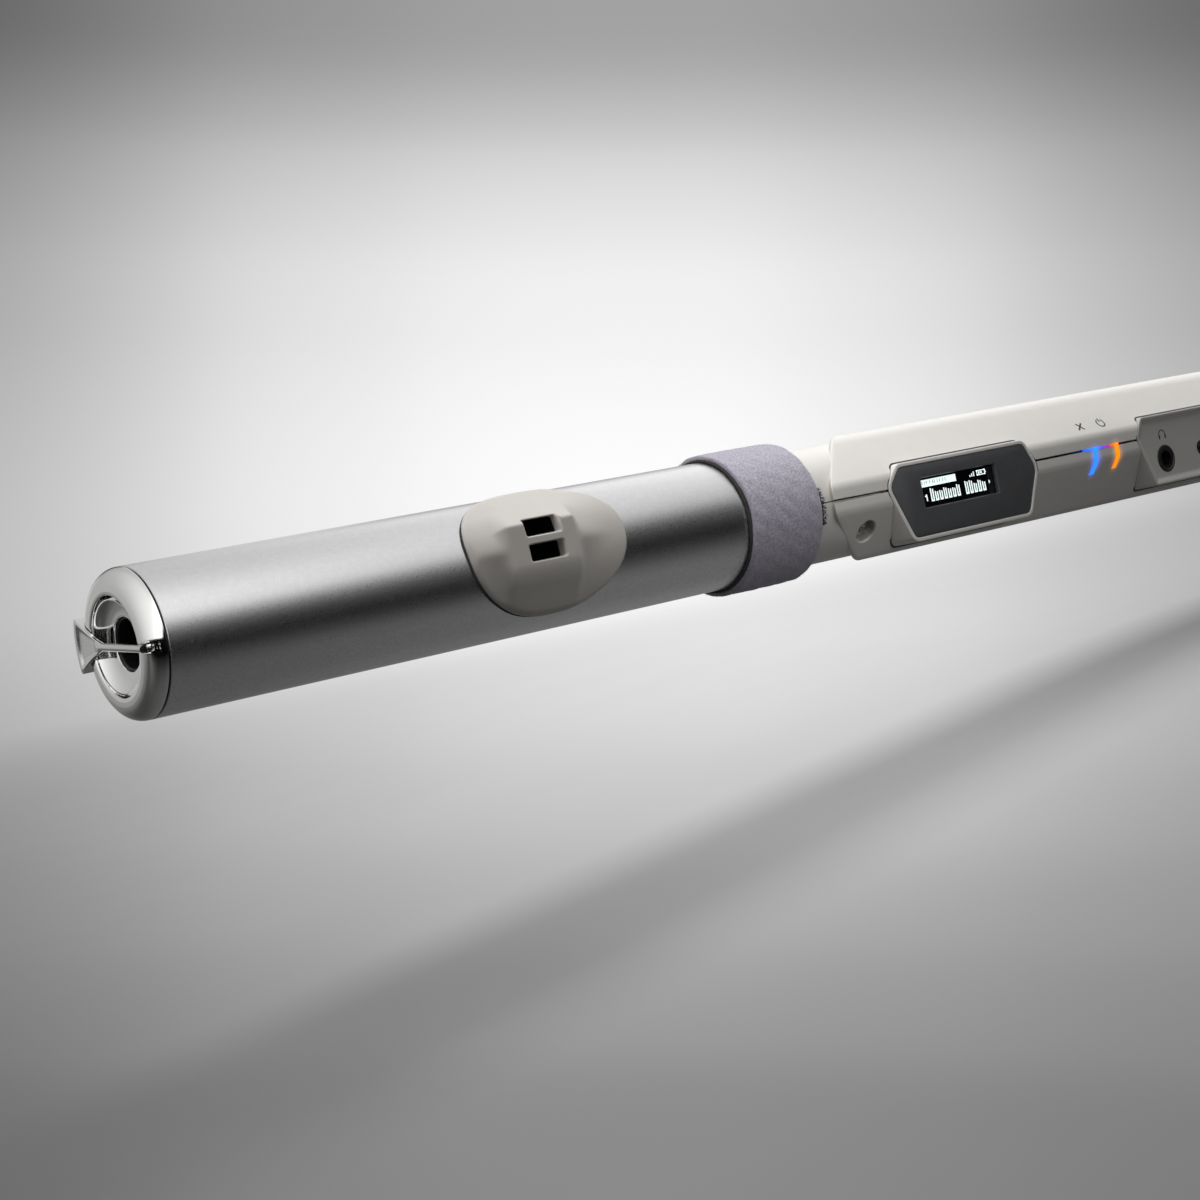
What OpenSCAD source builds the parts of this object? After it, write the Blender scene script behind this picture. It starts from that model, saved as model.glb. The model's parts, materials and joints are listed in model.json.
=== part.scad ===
// Digital flute: a tubular head with a blown lip plate, and a facetted casing with keys on rods.
// X runs along the tube from the crown's seam to the foot, the player is on the -Y side, Z is up.

/* [Head] */
// Outer diameter of the head tube
tube_d = 25.4; // [24:0.1:28]
// Wall of the head tube
tube_wall = 0.9; // [0.7:0.1:1.2]
// Length of the head tube
tube_len = 136; // [125:1:150]
// Width of the dark ring where the crown meets the tube
crown_seam = 0.25; // [0.1:0.05:0.5]
// How far the crown stands in front of its seam
crown_proud = 3.1; // [2.5:0.1:4.5]
// Radius of the crown's outer rounding
crown_round = 3; // [2:0.1:3]
// Radius where the crown's bowl begins
bowl_r = 8.4; // [7.8:0.1:8.8]
// Depth of the bowl
bowl_depth = 2.2; // [1.5:0.1:2.4]
// Diameter of the hole in the crown
crown_hole_d = 9; // [7:0.1:10]
// Length of the crown's spigot in the tube
spigot_len = 9; // [6:0.5:14]
// Turn of the crown's bar from the horizontal
crown_roll = 6; // [0:1:20]

/* [Bail] */
// Width of the bar across the crown
bar_w = 1.05; // [0.8:0.05:1.4]
// Thickness of the bar
bar_t = 0.9; // [0.7:0.05:1.2]
// Width of the fan at the bar's far end
fan_w = 9.2; // [6:0.1:12]
// Where the fan begins, before the far end
fan_len = 7; // [4:0.1:9]
// Height of the lip at the fan's end
fan_lip = 1.3; // [0.6:0.1:2]
// Diameter of the hinge pin
bail_pin_d = 0.8; // [0.6:0.1:1]
// Distance of the hinge pin from the axis
bail_pin_r = 10.7; // [10:0.1:11]

/* [Lip plate] */
// Centre of the lip plate from the crown's seam
lip_x = 74.7; // [60:0.1:90]
// Length of the lip plate along the tube
lip_len = 35; // [30:0.5:40]
// Half of the angle that the lip plate goes round the tube
lip_half_angle = 59; // [50:1:66]
// Angle of the lip plate's middle above the horizontal
lip_tilt = 15; // [0:1:25]
// Thickness of the lip plate at its rim
lip_t = 1.5; // [1.2:0.1:2]
// Extra height of the ridge in the lip plate's middle
lip_ridge = 1.9; // [1:0.1:2.6]
// Width of a breath slot
slot_w = 7.4; // [5:0.1:9]
// Height of a breath slot
slot_h = 3; // [2.4:0.1:3.6]
// Bar between the two breath slots
slot_bar = 1.5; // [1:0.1:2.2]
// Height of the bar's middle above the tube's axis
slot_mid_z = 3.8; // [3:0.1:5]

/* [Band] */
// Where the band begins
band_x = 124.3; // [118:0.1:132]
// Width of the band
band_w = 18.5; // [14:0.1:24]
// Thickness of the band's suede cover
band_cover_t = 0.8; // [0.6:0.1:1.2]
// Thickness of the band's lining
band_lining_t = 0.5; // [0.3:0.1:0.8]

/* [Casing] */
// Width of the casing
case_w = 25.8; // [25:0.1:31]
// Height of the casing
case_h = 26; // [25:0.1:32]
// Wall of the casing
case_wall = 1.8; // [1.5:0.1:2.2]
// Height of the upright flat on each side
side_flat = 5.7; // [4:0.1:7]
// Width of the flat along the top and the bottom
top_flat = 9.8; // [8:0.1:12]
// Rounding of the casing's long edges
edge_r = 3; // [2.4:0.1:3.5]
// Where the casing begins on the player's side
case_x = 146.8; // [145.5:0.1:150]
// Foot end of the casing
foot_x = 641; // [625:1:680]
// Slant of the casing's first end, along X for each step in Y
end_slant = 1.2; // [0.8:0.05:1.25]
// Gap of the seam between the two shells
seam_gap = 0.2; // [0.1:0.05:0.3]
// Length of the tenon inside the head tube
tenon_len = 24; // [18:1:30]
// Running clearance of the tenon in the head tube
tenon_gap = 0.08; // [0.05:0.01:0.1]
// Wall of the neck and its tenon
neck_wall = 2; // [1.6:0.1:2.4]
// Diameter of the rubber ring's cord
ring_cord = 1.4; // [1.2:0.1:1.6]

/* [Display] */
// Left corner of the display's bezel
bezel_x = 163.2; // [162:0.1:170]
// Length of the bezel
bezel_len = 44.7; // [42:0.1:50]
// Top of the bezel above the seam
bezel_top = 4; // [3:0.1:4.5]
// Bottom of the bezel below the seam
bezel_bottom = 10.8; // [9.5:0.1:11]
// Border of the frame round the bezel
frame_border = 0.9; // [0.7:0.1:1.2]
// How far the frame's face stands from the axis
frame_face = 13.1; // [13:0.1:14]
// Length of the lit part of the display
oled_len = 22.8; // [20:0.1:26]
// Height of the lit part of the display
oled_h = 6.2; // [5:0.1:7]
// Left edge of the lit part
oled_x = 172.3; // [170:0.1:176]
// Middle of the lit part above the seam
oled_z = -2.1; // [-3:0.1:0]

/* [Lights] */
// Middle of the link light
link_x = 228.3; // [215:0.1:229]
// Middle of the power light
power_x = 235.9; // [234:0.1:238]
// Width of a light strip
light_w = 1.5; // [1:0.1:2]
// How far a light strip reaches below the seam
light_drop = 5.6; // [4:0.1:7]

/* [Panel] */
// Left corner of the socket panel
panel_x = 243.2; // [241:0.1:246]
// Length of the socket panel
panel_len = 78; // [76:0.5:82]
// Top of the panel above the seam
panel_top = 4.7; // [4:0.1:5]
// Bottom of the panel below the seam
panel_bottom = 11.3; // [10.5:0.1:11.5]
// Width of the panel's rim
panel_rim = 0.8; // [0.6:0.1:1.2]
// Depth of the panel's floor behind its rim
panel_dip = 0.5; // [0.3:0.1:0.8]
// Middle of the phones jack along X
jack_x = 253.1; // [251:0.1:256]
// Bore of the phones jack
jack_bore_d = 3.6; // [3.55:0.05:3.7]
// Diameter of the phones jack's nose
jack_nose_d = 6.1; // [5.6:0.1:6.8]
// Middle of the USB socket along X
usb_x = 269.4; // [267:0.1:274]
// Diameter of a button
button_d = 5.2; // [4:0.1:6]
// Distance from button to button
button_pitch = 9.5; // [8:0.1:10]
// First button along X
button_x = 284; // [281:0.1:286]
// Travel of a button
button_travel = 0.8; // [0.4:0.1:1]

/* [Keys] */
// Diameter of a key's cup
cup_d = 15; // [13:0.1:16.5]
// Thickness of a key's cup
cup_t = 2.6; // [2:0.1:3.2]
// Rest height of the cups above the casing
key_lift = 3.8; // [3.6:0.1:4.6]
// Diameter of the key rods
rod_d = 2; // [1.6:0.1:2.4]
// Running clearance round a rod
rod_gap = 0.05; // [0.03:0.01:0.08]
// Wall of a key's hinge tube
hinge_wall = 0.85; // [0.7:0.05:1]
// Length of a key's hinge tube
hinge_len = 12; // [10:0.5:13]
// Height of the rods above the casing's sloping side
rod_lift = 5.5; // [5:0.1:6.5]
// Diameter of a post's head
post_head_d = 4.6; // [4.2:0.1:5]
// Width of a key's arm
arm_w = 3.4; // [2.6:0.1:4.2]
// Full press of a key, in degrees
key_press = 9; // [6:0.5:9]

/* [Inside] */
// Thickness of a circuit board
board_t = 1.2; // [0.8:0.1:1.6]
// Diameter of a battery cell
cell_d = 14.2; // [12:0.1:14.5]
// Length of a battery cell
cell_len = 50.5; // [44:0.5:52]

/* [Hidden] */
$fn = 64;

eps = 0.01;
// Gap between still pieces that fit together
fit = 0.1;
tube_r = tube_d / 2;
tube_bore_r = tube_r - tube_wall;
neck_r = tube_bore_r - tenon_gap;
neck_bore_r = neck_r - neck_wall;
tenon_x = tube_len - tenon_len;
half_w = case_w / 2;
half_h = case_h / 2;
// Angle of the sloping sides' normals from the horizontal
slope = atan2(half_w - top_flat / 2, half_h - side_flat / 2);
slope_mid = [(half_w + top_flat / 2) / 2, (half_h + side_flat / 2) / 2];
end_wall = case_wall * sqrt(1 + end_slant * end_slant);
corner_steps = 3;

// Where the screws, posts and keys stand along X
screw_x = [157.7, 392, 512, 618];
left_posts = [290, 317, 344.5, 369.5, 393];
right_posts = [400, 426.5, 453.5, 480.5, 507];
foot_posts = [516, 575];
thumb_posts = [327, 367];
c_x = 303;
a_x = 330.5;
g_x = 357;
g_sharp_x = 381;
trill_d_x = 408;
trill_d_sharp_x = 418;
f_x = 440;
e_x = 467;
d_x = 494;
e_flat_x = 525.5;
low_c_sharp_x = 546;
low_c_x = 564;
thumb_b_x = 337;
thumb_b_flat_x = 354;
paddle_w = 13.5;
trill_w = 6.5;
trill_hinge = 8;
cup_tops = [c_x, a_x, g_x, f_x, e_x, d_x];
paddle_tops = [g_sharp_x, e_flat_x, low_c_sharp_x, low_c_x];
trill_tops = [trill_d_x, trill_d_sharp_x];

// The rods' places, seen along X
rod_r = rod_d / 2;
rod_bore_r = rod_r + rod_gap;
hinge_r = rod_bore_r + hinge_wall;
rod_y = -slope_mid[0] - rod_lift * cos(slope);
rod_z = slope_mid[1] + rod_lift * sin(slope);
cup_z = half_h + key_lift;
// Highest that a dome may reach below a pressed cup
dome_top = cup_z - rod_span(0, cup_z) - 0.35;
dome_r = 2.4;
key_board_z = half_h - case_wall - 3;
post_r = 1.4;
spring_r = 0.25;
spring_len = 9;
spring_drop = hinge_r + spring_r + 0.75;

// The thumb keys lie on the player's lower slope, in a frame turned onto it
thumb_turn = 90 + slope;
slope_face = half_w * cos(slope) + side_flat / 2 * sin(slope);
// The keys' board reaches nearly to the sloping walls at its height
key_board_w = 2 * ((slope_face - case_wall - key_board_z * sin(slope)) / cos(slope) - 0.39);
thumb_rod_y = 8;
thumb_rod_z = slope_face + 1.7;
thumb_touch_z = slope_face + 2.7;

// The sockets' panel and what is behind it
panel_face = half_w;
panel_floor = panel_face - panel_dip;
panel_t = 1.6;
panel_end = panel_x + panel_len;
jack_z = -5.6;
jack_depth = 14;
jack_body = 6.8;
usb_w = 9;
usb_h = 3.2;
usb_z = -4.8;
usb_depth = 7.4;
button_z = -2.6;
button_r = button_d / 2;
button_proud = 1.1;

// What drops from a point beside the rod to a place below it, at full press
function rod_span(y, z) = (y - rod_y) * sin(key_press) + (z - rod_z) * (1 - cos(key_press));

function turn(a) = [cos(a), sin(a)];

function corner(y, z, a, b, inset) =
    let (r = max(edge_r, inset), c = [y, z] - r / cos((b - a) / 2) * turn((a + b) / 2))
    [for (i = [0:corner_steps]) c + (r - inset) * turn(a + (b - a) * i / corner_steps)];

// The casing's outline across X, drawn in by inset
function casing(inset) =
    let (s = side_flat / 2, t = top_flat / 2)
    concat(corner(half_w, s, 0, slope, inset), corner(t, half_h, slope, 90, inset),
        corner(-t, half_h, 90, 180 - slope, inset), corner(-half_w, s, 180 - slope, 180, inset),
        corner(-half_w, -s, 180, 180 + slope, inset), corner(-t, -half_h, 180 + slope, 270, inset),
        corner(t, -half_h, 270, 360 - slope, inset), corner(half_w, -s, 360 - slope, 360, inset));

function unit(v) = v / norm(v);

function outward(a, b) = [unit(b - a)[1], -unit(b - a)[0]];

// A convex outline, listed anticlockwise, with every side moved out by d
function grown(p, d) = [for (i = [0:len(p) - 1])
    let (a = p[(i + len(p) - 1) % len(p)], b = p[i], c = p[(i + 1) % len(p)])
    let (m = outward(a, b), n = outward(b, c))
    b + d * (m + n) / (1 + m * n)];

bezel_end = bezel_x + bezel_len;
bezel_outline = [[bezel_x, 0.3], [bezel_x + 4.6, -bezel_bottom], [bezel_end - 4.6, -bezel_bottom],
    [bezel_end, -1.5], [bezel_end - 3, bezel_top], [bezel_x + 3.4, bezel_top]];
frame_outline = grown(bezel_outline, frame_border);
panel_outline = [[panel_x, 0], [panel_x + 4.2, -panel_bottom], [panel_end - 4.2, -panel_bottom],
    [panel_end, 0], [panel_end - 2.8, panel_top], [panel_x + 2.8, panel_top]];
insert_back = 5.2;
insert_wall = 1.3;
foot_cap_t = 3;

// An outline across X, drawn out from a to b
module along_x(points, a, b) {
    translate([a, 0, 0]) rotate([90, 0, 90]) linear_extrude(b - a) polygon(points);
}

// An outline seen from the player's side, drawn out from y = -a to y = -b
module along_y(points, a, b) {
    translate([0, -b, 0]) rotate([90, 0, 0]) linear_extrude(a - b) polygon(points);
}

module rod_x(r, a, b) {
    translate([a, 0, 0]) rotate([0, 90, 0]) cylinder(r = r, h = b - a);
}

// A cylinder that points to the player's side, from y = -a to y = -b
module pin_y(r, a, b) {
    translate([0, -b, 0]) rotate([90, 0, 0]) cylinder(r = r, h = a - b);
}

module ring_x(r, bore, a, b) {
    difference() {
        rod_x(r, a, b);
        rod_x(bore, a - 1, b + 1);
    }
}

module block(a, b) {
    translate(a) cube(b - a);
}

// Turns a profile of [x, radius] points round the X axis
module turned(profile) {
    rotate([0, 90, 0]) rotate_extrude($fn = 96) polygon([for (p = profile) [p[1], p[0]]]);
}

module on_slope() {
    rotate([thumb_turn, 0, 0]) children();
}

// Places a piece in the crown's frame, which is turned a little about X
module in_crown() {
    rotate([crown_roll, 0, 0]) children();
}

bar_x = crown_proud + 0.2;
pin_x = -crown_proud + 0.85;
knuckle_r = bail_pin_d / 2 + 0.5;
notch_w = bar_w + 0.9;
core_len = 8;
core_bore_r = crown_hole_d / 2 + 0.6;
grille_t = 2;
fan_power = 2.2;
fan_lip_t = 0.9;

module hinge_pin(grow, length) {
    translate([pin_x, -bail_pin_r, -length / 2]) cylinder(r = bail_pin_d / 2 + grow, h = length, $fn = 24);
}

function crown_profile() = concat(
    [[-0.001, tube_r]],
    [for (i = [0:5]) [-crown_proud + crown_round - crown_round * sin(i * 18),
        tube_r - crown_round + crown_round * cos(i * 18)]],
    [[-crown_proud, bowl_r + 0.5]],
    [for (i = [0:6]) [-crown_proud + bowl_depth * sin(i * 15),
        crown_hole_d / 2 + (bowl_r - crown_hole_d / 2) * cos(i * 15)]],
    [[spigot_len, crown_hole_d / 2], [spigot_len, tube_bore_r - fit], [-0.001, tube_bore_r - fit]]);

module crown_cap() {
    notch_back = pin_x + knuckle_r + 0.35;
    color("silver") difference() {
        turned(crown_profile());
        in_crown() block([-crown_proud - 1, -tube_r - 1, -notch_w / 2], [notch_back, -bowl_r, notch_w / 2]);
        in_crown() hinge_pin(0.02, 6);
    }
}

module crown_core() {
    back = spigot_len + core_len - grille_t;
    color("black") difference() {
        rod_x(tube_bore_r - fit, spigot_len + 0.05, back + grille_t);
        rod_x(core_bore_r, spigot_len, back);
        for (a = [0:60:300]) {
            rotate([a, 0, 0]) translate([0, 0, 2.6]) rod_x(0.8, back - 1, back + grille_t + 1);
        }
    }
}

// Half of the bar's width at the fraction f of the fan
function bar_half(f) = bar_w / 2 + (fan_w - bar_w) / 2 * pow(f, fan_power);

// The bar from above: straight, then a fan with hollow sides
function bail_outline() =
    let (start = tube_r + 0.1 - fan_len, n = 6)
    concat([[-bail_pin_r, -bar_w / 2]],
        [for (i = [0:n]) [start + fan_len * i / n, -bar_half(i / n)]],
        [for (i = [n:-1:0]) [start + fan_len * i / n, bar_half(i / n)]],
        [[-bail_pin_r, bar_w / 2]]);

module bail() {
    color("silver") in_crown() difference() {
        union() {
            intersection() {
                along_x(bail_outline(), -bar_x - bar_t, -bar_x);
                rod_x(tube_r, -20, 20);
            }
            intersection() {
                along_x(bail_outline(), -bar_x - fan_lip, -bar_x);
                ring_x(tube_r, tube_r - fan_lip_t, -20, 20);
            }
            hinge_pin(0.5, bar_w);
            block([-bar_x - bar_t, -bail_pin_r - 0.6, -bar_w / 2],
                [pin_x - bail_pin_d / 2 - 0.1, -bail_pin_r + 0.6, bar_w / 2]);
        }
        hinge_pin(0.05, 6);
    }
}

module bail_pin() {
    color("gray") in_crown() hinge_pin(0, 5.4);
}

duct_w = slot_w + 3;
duct_h = 2 * slot_h + slot_bar + 2.4;

// The breath duct's block, or the hole that it needs
module duct_hole(grow) {
    block([lip_x - duct_w / 2 - grow, -tube_r - 3, slot_mid_z - duct_h / 2 - grow],
        [lip_x + duct_w / 2 + grow, -2, slot_mid_z + duct_h / 2 + grow]);
}

module head_tube() {
    color("lightgray") difference() {
        ring_x(tube_r, tube_bore_r, crown_seam, tube_len);
        duct_hole(fit);
    }
}

lip_r = tube_r + lip_t;

// The lip plate's outline seen square on, a squared ellipse
function lip_outline(grow) =
    let (a = lip_len / 2 + grow, b = lip_r * sin(lip_half_angle) + grow, e = 2 / 2.35)
    [for (i = [0:47]) let (t = i * 7.5)
        [a * sign(cos(t)) * pow(abs(cos(t)), e), b * sign(sin(t)) * pow(abs(sin(t)), e)]];

module lip_slots(depth) {
    for (s = [-1, 1]) {
        block([-slot_w / 2, -tube_r - 6, s * (slot_bar + slot_h) / 2 - slot_h / 2],
            [slot_w / 2, -tube_r + depth, s * (slot_bar + slot_h) / 2 + slot_h / 2]);
    }
}

// The ridge: a roof along X whose ends slope down to the plate
function ridge_across() =
    let (top = -lip_r - lip_ridge)
    [[-lip_r * cos(56), -lip_r * sin(56)], [top + 1.2, -6], [top, -0.5], [top + 0.5, 5],
        [-lip_r * cos(40), lip_r * sin(40)], [0, 0]];

function ridge_along() =
    let (foot = 13.5, flat = 6.5, top = -lip_r - lip_ridge)
    [[-foot, 1.2 - lip_r], [-flat, top], [flat, top], [foot, 1.2 - lip_r]];

module lip_plate() {
    color("gainsboro") translate([lip_x, 0, 0]) difference() {
        rotate([-lip_tilt, 0, 0]) union() {
            intersection() {
                rod_x(lip_r, -lip_len, lip_len);
                along_y(lip_outline(0), tube_r + 6, 1);
            }
            intersection() {
                along_x(ridge_across(), -lip_len, lip_len);
                translate([0, 0, -20]) linear_extrude(40) polygon(ridge_along());
                along_y(lip_outline(-0.5), tube_r + 6, 1);
            }
        }
        rod_x(tube_r + 0.05, -lip_len, lip_len);
        translate([0, 0, slot_mid_z]) lip_slots(3);
    }
}

// A thin gasket in the shape of the plate's rim
module lip_seal() {
    color("dimgray") translate([lip_x, 0, 0]) difference() {
        rotate([-lip_tilt, 0, 0]) intersection() {
            ring_x(tube_r + 0.6, tube_r + 0.02, -lip_len, lip_len);
            difference() {
                along_y(lip_outline(0.5), tube_r + 6, 1);
                along_y(lip_outline(0.08), tube_r + 7, 0);
            }
        }
    }
}

module breath_duct() {
    color("dimgray") difference() {
        intersection() {
            duct_hole(0);
            rod_x(tube_r + 0.02, 0, tube_len);
        }
        translate([lip_x, 0, slot_mid_z]) lip_slots(tube_r - 3);
        translate([lip_x, -3.4, slot_mid_z]) rotate([-90, 0, 0]) cylinder(r = 1.2, h = 6, $fn = 24);
    }
}

// The board lies behind the duct, with a sensor in front and two chips at the back
module breath_sensor_board() {
    face = 1.9;
    back = board_t - face;
    color("seagreen") translate([lip_x, 0, 0]) {
        block([-20, -face, -5.5], [24, back, 8.8]);
        translate([9, 0, 2]) pin_y(2.5, face + 3, face);
        block([15, back, -3], [22, back + 2.9, 5]);
        block([-18, back, -2], [-10, back + 1.5, 4]);
    }
}

band_end = band_x + band_w;
band_in_r = tube_r + 0.05;
band_mid_r = band_in_r + band_lining_t;
band_out_r = band_mid_r + band_cover_t;

module band_cover() {
    color("thistle") ring_x(band_out_r, band_mid_r + 0.02, band_x, band_end);
}

module band_lining() {
    color("dimgray") ring_x(band_mid_r, band_in_r, band_x - 0.3, band_end - 0.8);
}

// The end of the strip of hooks that peeps out at the band's edge
module band_hook_patch() {
    color("dimgray") intersection() {
        ring_x(band_in_r - 0.05, neck_r + 0.35, tube_len + 0.3, band_end + 2.4);
        block([0, -20, -4.4], [200, 0, 3.2]);
    }
}

groove_x = tenon_x + 6;
neck_end = case_x + end_slant * case_w + end_wall;

module tenon_ring() {
    color("black") translate([groove_x, 0, 0]) rotate([0, 90, 0]) rotate_extrude($fn = 96)
        translate([neck_r - ring_cord / 2 + 0.02, 0]) circle(r = ring_cord / 2, $fn = 24);
}

module neck() {
    half = ring_cord / 2 + 0.1;
    difference() {
        rod_x(neck_r, tenon_x, neck_end);
        ring_x(neck_r + 1, neck_r - ring_cord - 0.02, groove_x - half, groove_x + half);
    }
}

// All that lies before the casing's slanted end, moved along X by a step
module before_end(step) {
    y = case_w;
    mid = case_x + step + end_slant * half_w;
    translate([0, 0, -case_h]) linear_extrude(2 * case_h)
        polygon([[100, -y], [mid - end_slant * y, -y], [mid + end_slant * y, y], [100, y]]);
}

module casing_solid() {
    difference() {
        along_x(casing(0), case_x, foot_x);
        before_end(0);
    }
    neck();
}

module casing_hollow() {
    difference() {
        along_x(casing(case_wall), case_x, foot_x + 1);
        before_end(end_wall);
    }
    rod_x(neck_bore_r, tenon_x - 1, neck_end + 1);
}

// Everything that is let into the shells from the player's side
module side_cuts() {
    along_y(grown(frame_outline, fit), half_w + 3, insert_back - 0.2);
    along_y(grown(panel_outline, fit), half_w + 3, insert_back - 0.2);
}

// Places a piece at a screw, with z up from the axis through the lower slope
module at_screw(x, z) {
    translate([x, 0, 0]) on_slope() translate([0, 0, z]) children();
}

screw_head_r = 2.1;
screw_head_t = 1.3;
screw_sink = 3;
screw_r = 1.1;
screw_tip = 1.2;
boss_r = 3.7;
boss_len = 5;
web_t = 5;
web_w = 8;

module dome_places() {
    for (x = cup_tops) {
        translate([x, 0, 0]) children();
    }
    for (x = paddle_tops) {
        translate([x, 0, 0]) children();
    }
    for (x = trill_tops) {
        translate([x, 0, 0]) children();
    }
}

module upper_shell() {
    color("gainsboro") difference() {
        union() {
            intersection() {
                difference() {
                    casing_solid();
                    casing_hollow();
                }
                block([0, -40, seam_gap / 2], [foot_x, 40, 40]);
            }
            for (x = screw_x) {
                intersection() {
                    block([x - web_t / 2, -web_w / 2, -1], [x + web_t / 2, web_w / 2, half_h]);
                    union() {
                        along_x(casing(case_wall / 2), case_x + 16, foot_x);
                        rod_x(neck_r - 0.2, tenon_x, case_x + 20);
                    }
                }
            }
        }
        side_cuts();
        dome_places() cylinder(r = dome_r + 0.15, h = 30, $fn = 32);
        for (x = screw_x) {
            at_screw(x, -1) cylinder(r = screw_r + 0.02, h = 10, $fn = 24);
        }
    }
}

module lower_shell() {
    color("gainsboro") difference() {
        union() {
            intersection() {
                difference() {
                    casing_solid();
                    casing_hollow();
                }
                block([0, -40, -40], [foot_x, 40, -seam_gap / 2]);
            }
            for (x = screw_x) {
                at_screw(x, slope_face - boss_len - 0.2) cylinder(r = boss_r, h = boss_len, $fn = 32);
            }
        }
        side_cuts();
        translate([0, 0, cell_z]) rod_x(cell_d / 2 + fit, cell_x, cell_end + cell_cap_t);
        light_slot(link_x, fit / 2);
        light_slot(power_x, fit / 2);
        for (x = screw_x) {
            at_screw(x, slope_face - screw_sink) cylinder(r = screw_head_r + 0.4, h = 10, $fn = 32);
            at_screw(x, 0) cylinder(r = screw_r + 0.2, h = 20, $fn = 24);
        }
    }
}

// A screw with a cross in its head, drawn upright with the head's underside at z = 0
module screw(length) {
    difference() {
        union() {
            cylinder(r = screw_head_r, h = screw_head_t, $fn = 32);
            translate([0, 0, -length]) cylinder(r = screw_r, h = length + eps, $fn = 24);
        }
        for (a = [0, 90]) {
            rotate([0, 0, a]) block([-1.3, -0.3, screw_head_t - 0.4], [1.3, 0.3, screw_head_t + 1]);
        }
    }
}

module shell_screws() {
    seat = slope_face - screw_sink;
    color("dimgray") for (x = screw_x) {
        at_screw(x, seat) screw(seat - screw_tip);
    }
}

bezel_t = 1;

module display_frame() {
    color("gainsboro") difference() {
        along_y(frame_outline, frame_face, insert_back);
        along_y(grown(bezel_outline, 0.05), frame_face + 1, frame_face - bezel_t - 0.05);
        along_y(grown(bezel_outline, frame_border - insert_wall), frame_face, insert_back - 1);
    }
}

module oled_block(grow, a, b) {
    half = oled_h / 2 + grow;
    block([oled_x - grow, -a, oled_z - half], [oled_x + oled_len + grow, -b, oled_z + half]);
}

module display_bezel() {
    color("dimgray") difference() {
        along_y(bezel_outline, frame_face, frame_face - bezel_t);
        oled_block(0, frame_face + 1, frame_face - 2);
    }
}

glass_front = frame_face - bezel_t - 0.02;
glass_t = 1.45;

module display_glass() {
    color("black") oled_block(2.4, glass_front, glass_front - glass_t);
}

// The display's board, with a chip and a plug at its back
module display_board() {
    face = glass_front - glass_t - 0.02;
    back = board_t - face;
    color("seagreen") translate([oled_x, 0, 0]) {
        block([-3.4, -face, -9.2], [oled_len + 3.4, back, 2.4]);
        block([4, back, -6], [11, back + 1.4, -1]);
        block([15, back, -8.6], [21, back + 2, -6]);
    }
}

// A light strip: it fills a slit in the lower shell's edge and drops down the wall
module light_slot(x, grow) {
    intersection() {
        difference() {
            along_x(casing(-grow), case_x + 30, foot_x);
            along_x(casing(case_wall + 0.8 + grow), case_x + 20, foot_x + 1);
        }
        union() {
            block([x - light_w / 2 - grow, -20, -light_drop - grow], [x + light_w / 2 + grow, 0, 0]);
            block([x - 3.7 + light_w / 2 - grow, -20, -0.5 - grow], [x + light_w / 2 + grow, 0, 0]);
        }
    }
}

module light_guide(x) {
    intersection() {
        light_slot(x, 0);
        block([x - 10, -20, -20], [x + 10, 0, -0.02]);
    }
}

module light_guide_link() {
    color("dodgerblue") light_guide(link_x);
}

module light_guide_power() {
    color("orange") light_guide(power_x);
}

// A small board with a lamp behind each light guide
module light_board() {
    y = half_w - case_wall - 2;
    lamp_y = half_w - case_wall - 0.8 - 0.05;
    color("seagreen") {
        block([link_x - 5, -y, -2.4], [power_x + 4, -y + board_t, 2.2]);
        for (x = [link_x, power_x]) {
            block([x - 1.2, -lamp_y, -1.7], [x + 1.2, -y + eps, -0.6]);
        }
    }
}

module button_place(i) {
    translate([button_x + i * button_pitch, 0, button_z]) children();
}

module usb_hole(grow, a, b) {
    r = usb_h / 2 + grow;
    side = (usb_w - usb_h) / 2;
    for (s = [-1, 1]) {
        translate([usb_x + s * side, 0, usb_z]) pin_y(r, a, b);
    }
    block([usb_x - side, -a, usb_z - r], [usb_x + side, -b, usb_z + r]);
}

module socket_panel() {
    color("gainsboro") difference() {
        along_y(panel_outline, panel_face, insert_back);
        along_y(grown(panel_outline, -panel_rim), panel_face + 1, panel_floor);
        along_y(grown(panel_outline, -insert_wall), panel_floor - panel_t, insert_back - 1);
        translate([jack_x, 0, jack_z]) pin_y(jack_nose_d / 2 + 0.05, panel_face + 2, insert_back);
        usb_hole(fit, panel_face + 2, insert_back);
        for (i = [0:3]) {
            button_place(i) pin_y(button_r + 0.15, panel_face + 2, insert_back);
        }
    }
}

module phones_jack() {
    half = jack_body / 2;
    back = panel_floor - jack_depth - 1;
    color("black") translate([jack_x, 0, jack_z]) difference() {
        union() {
            pin_y(jack_nose_d / 2, panel_floor, back);
            block([-half, -panel_floor + panel_t + 0.05, -half], [half, -back, half]);
        }
        pin_y(jack_bore_d / 2, panel_floor + 2, panel_floor - jack_depth);
    }
}

// A sleeve with a tongue in it, and a body behind the panel
module usb_socket() {
    side = usb_w / 2;
    up = usb_h / 2;
    tongue_w = 6.8;
    tongue_t = 0.7;
    color("silver") difference() {
        union() {
            usb_hole(0, panel_floor, panel_floor - usb_depth);
            block([usb_x - side, -panel_floor + panel_t + 0.05, usb_z - up - 0.4],
                [usb_x + side, -panel_floor + usb_depth, usb_z + up]);
        }
        difference() {
            usb_hole(-0.35, panel_floor + 1, panel_floor - usb_depth + 1);
            block([usb_x - tongue_w / 2, -panel_floor + 0.8, usb_z - tongue_t / 2],
                [usb_x + tongue_w / 2, 0, usb_z + tongue_t / 2]);
        }
    }
}

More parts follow.
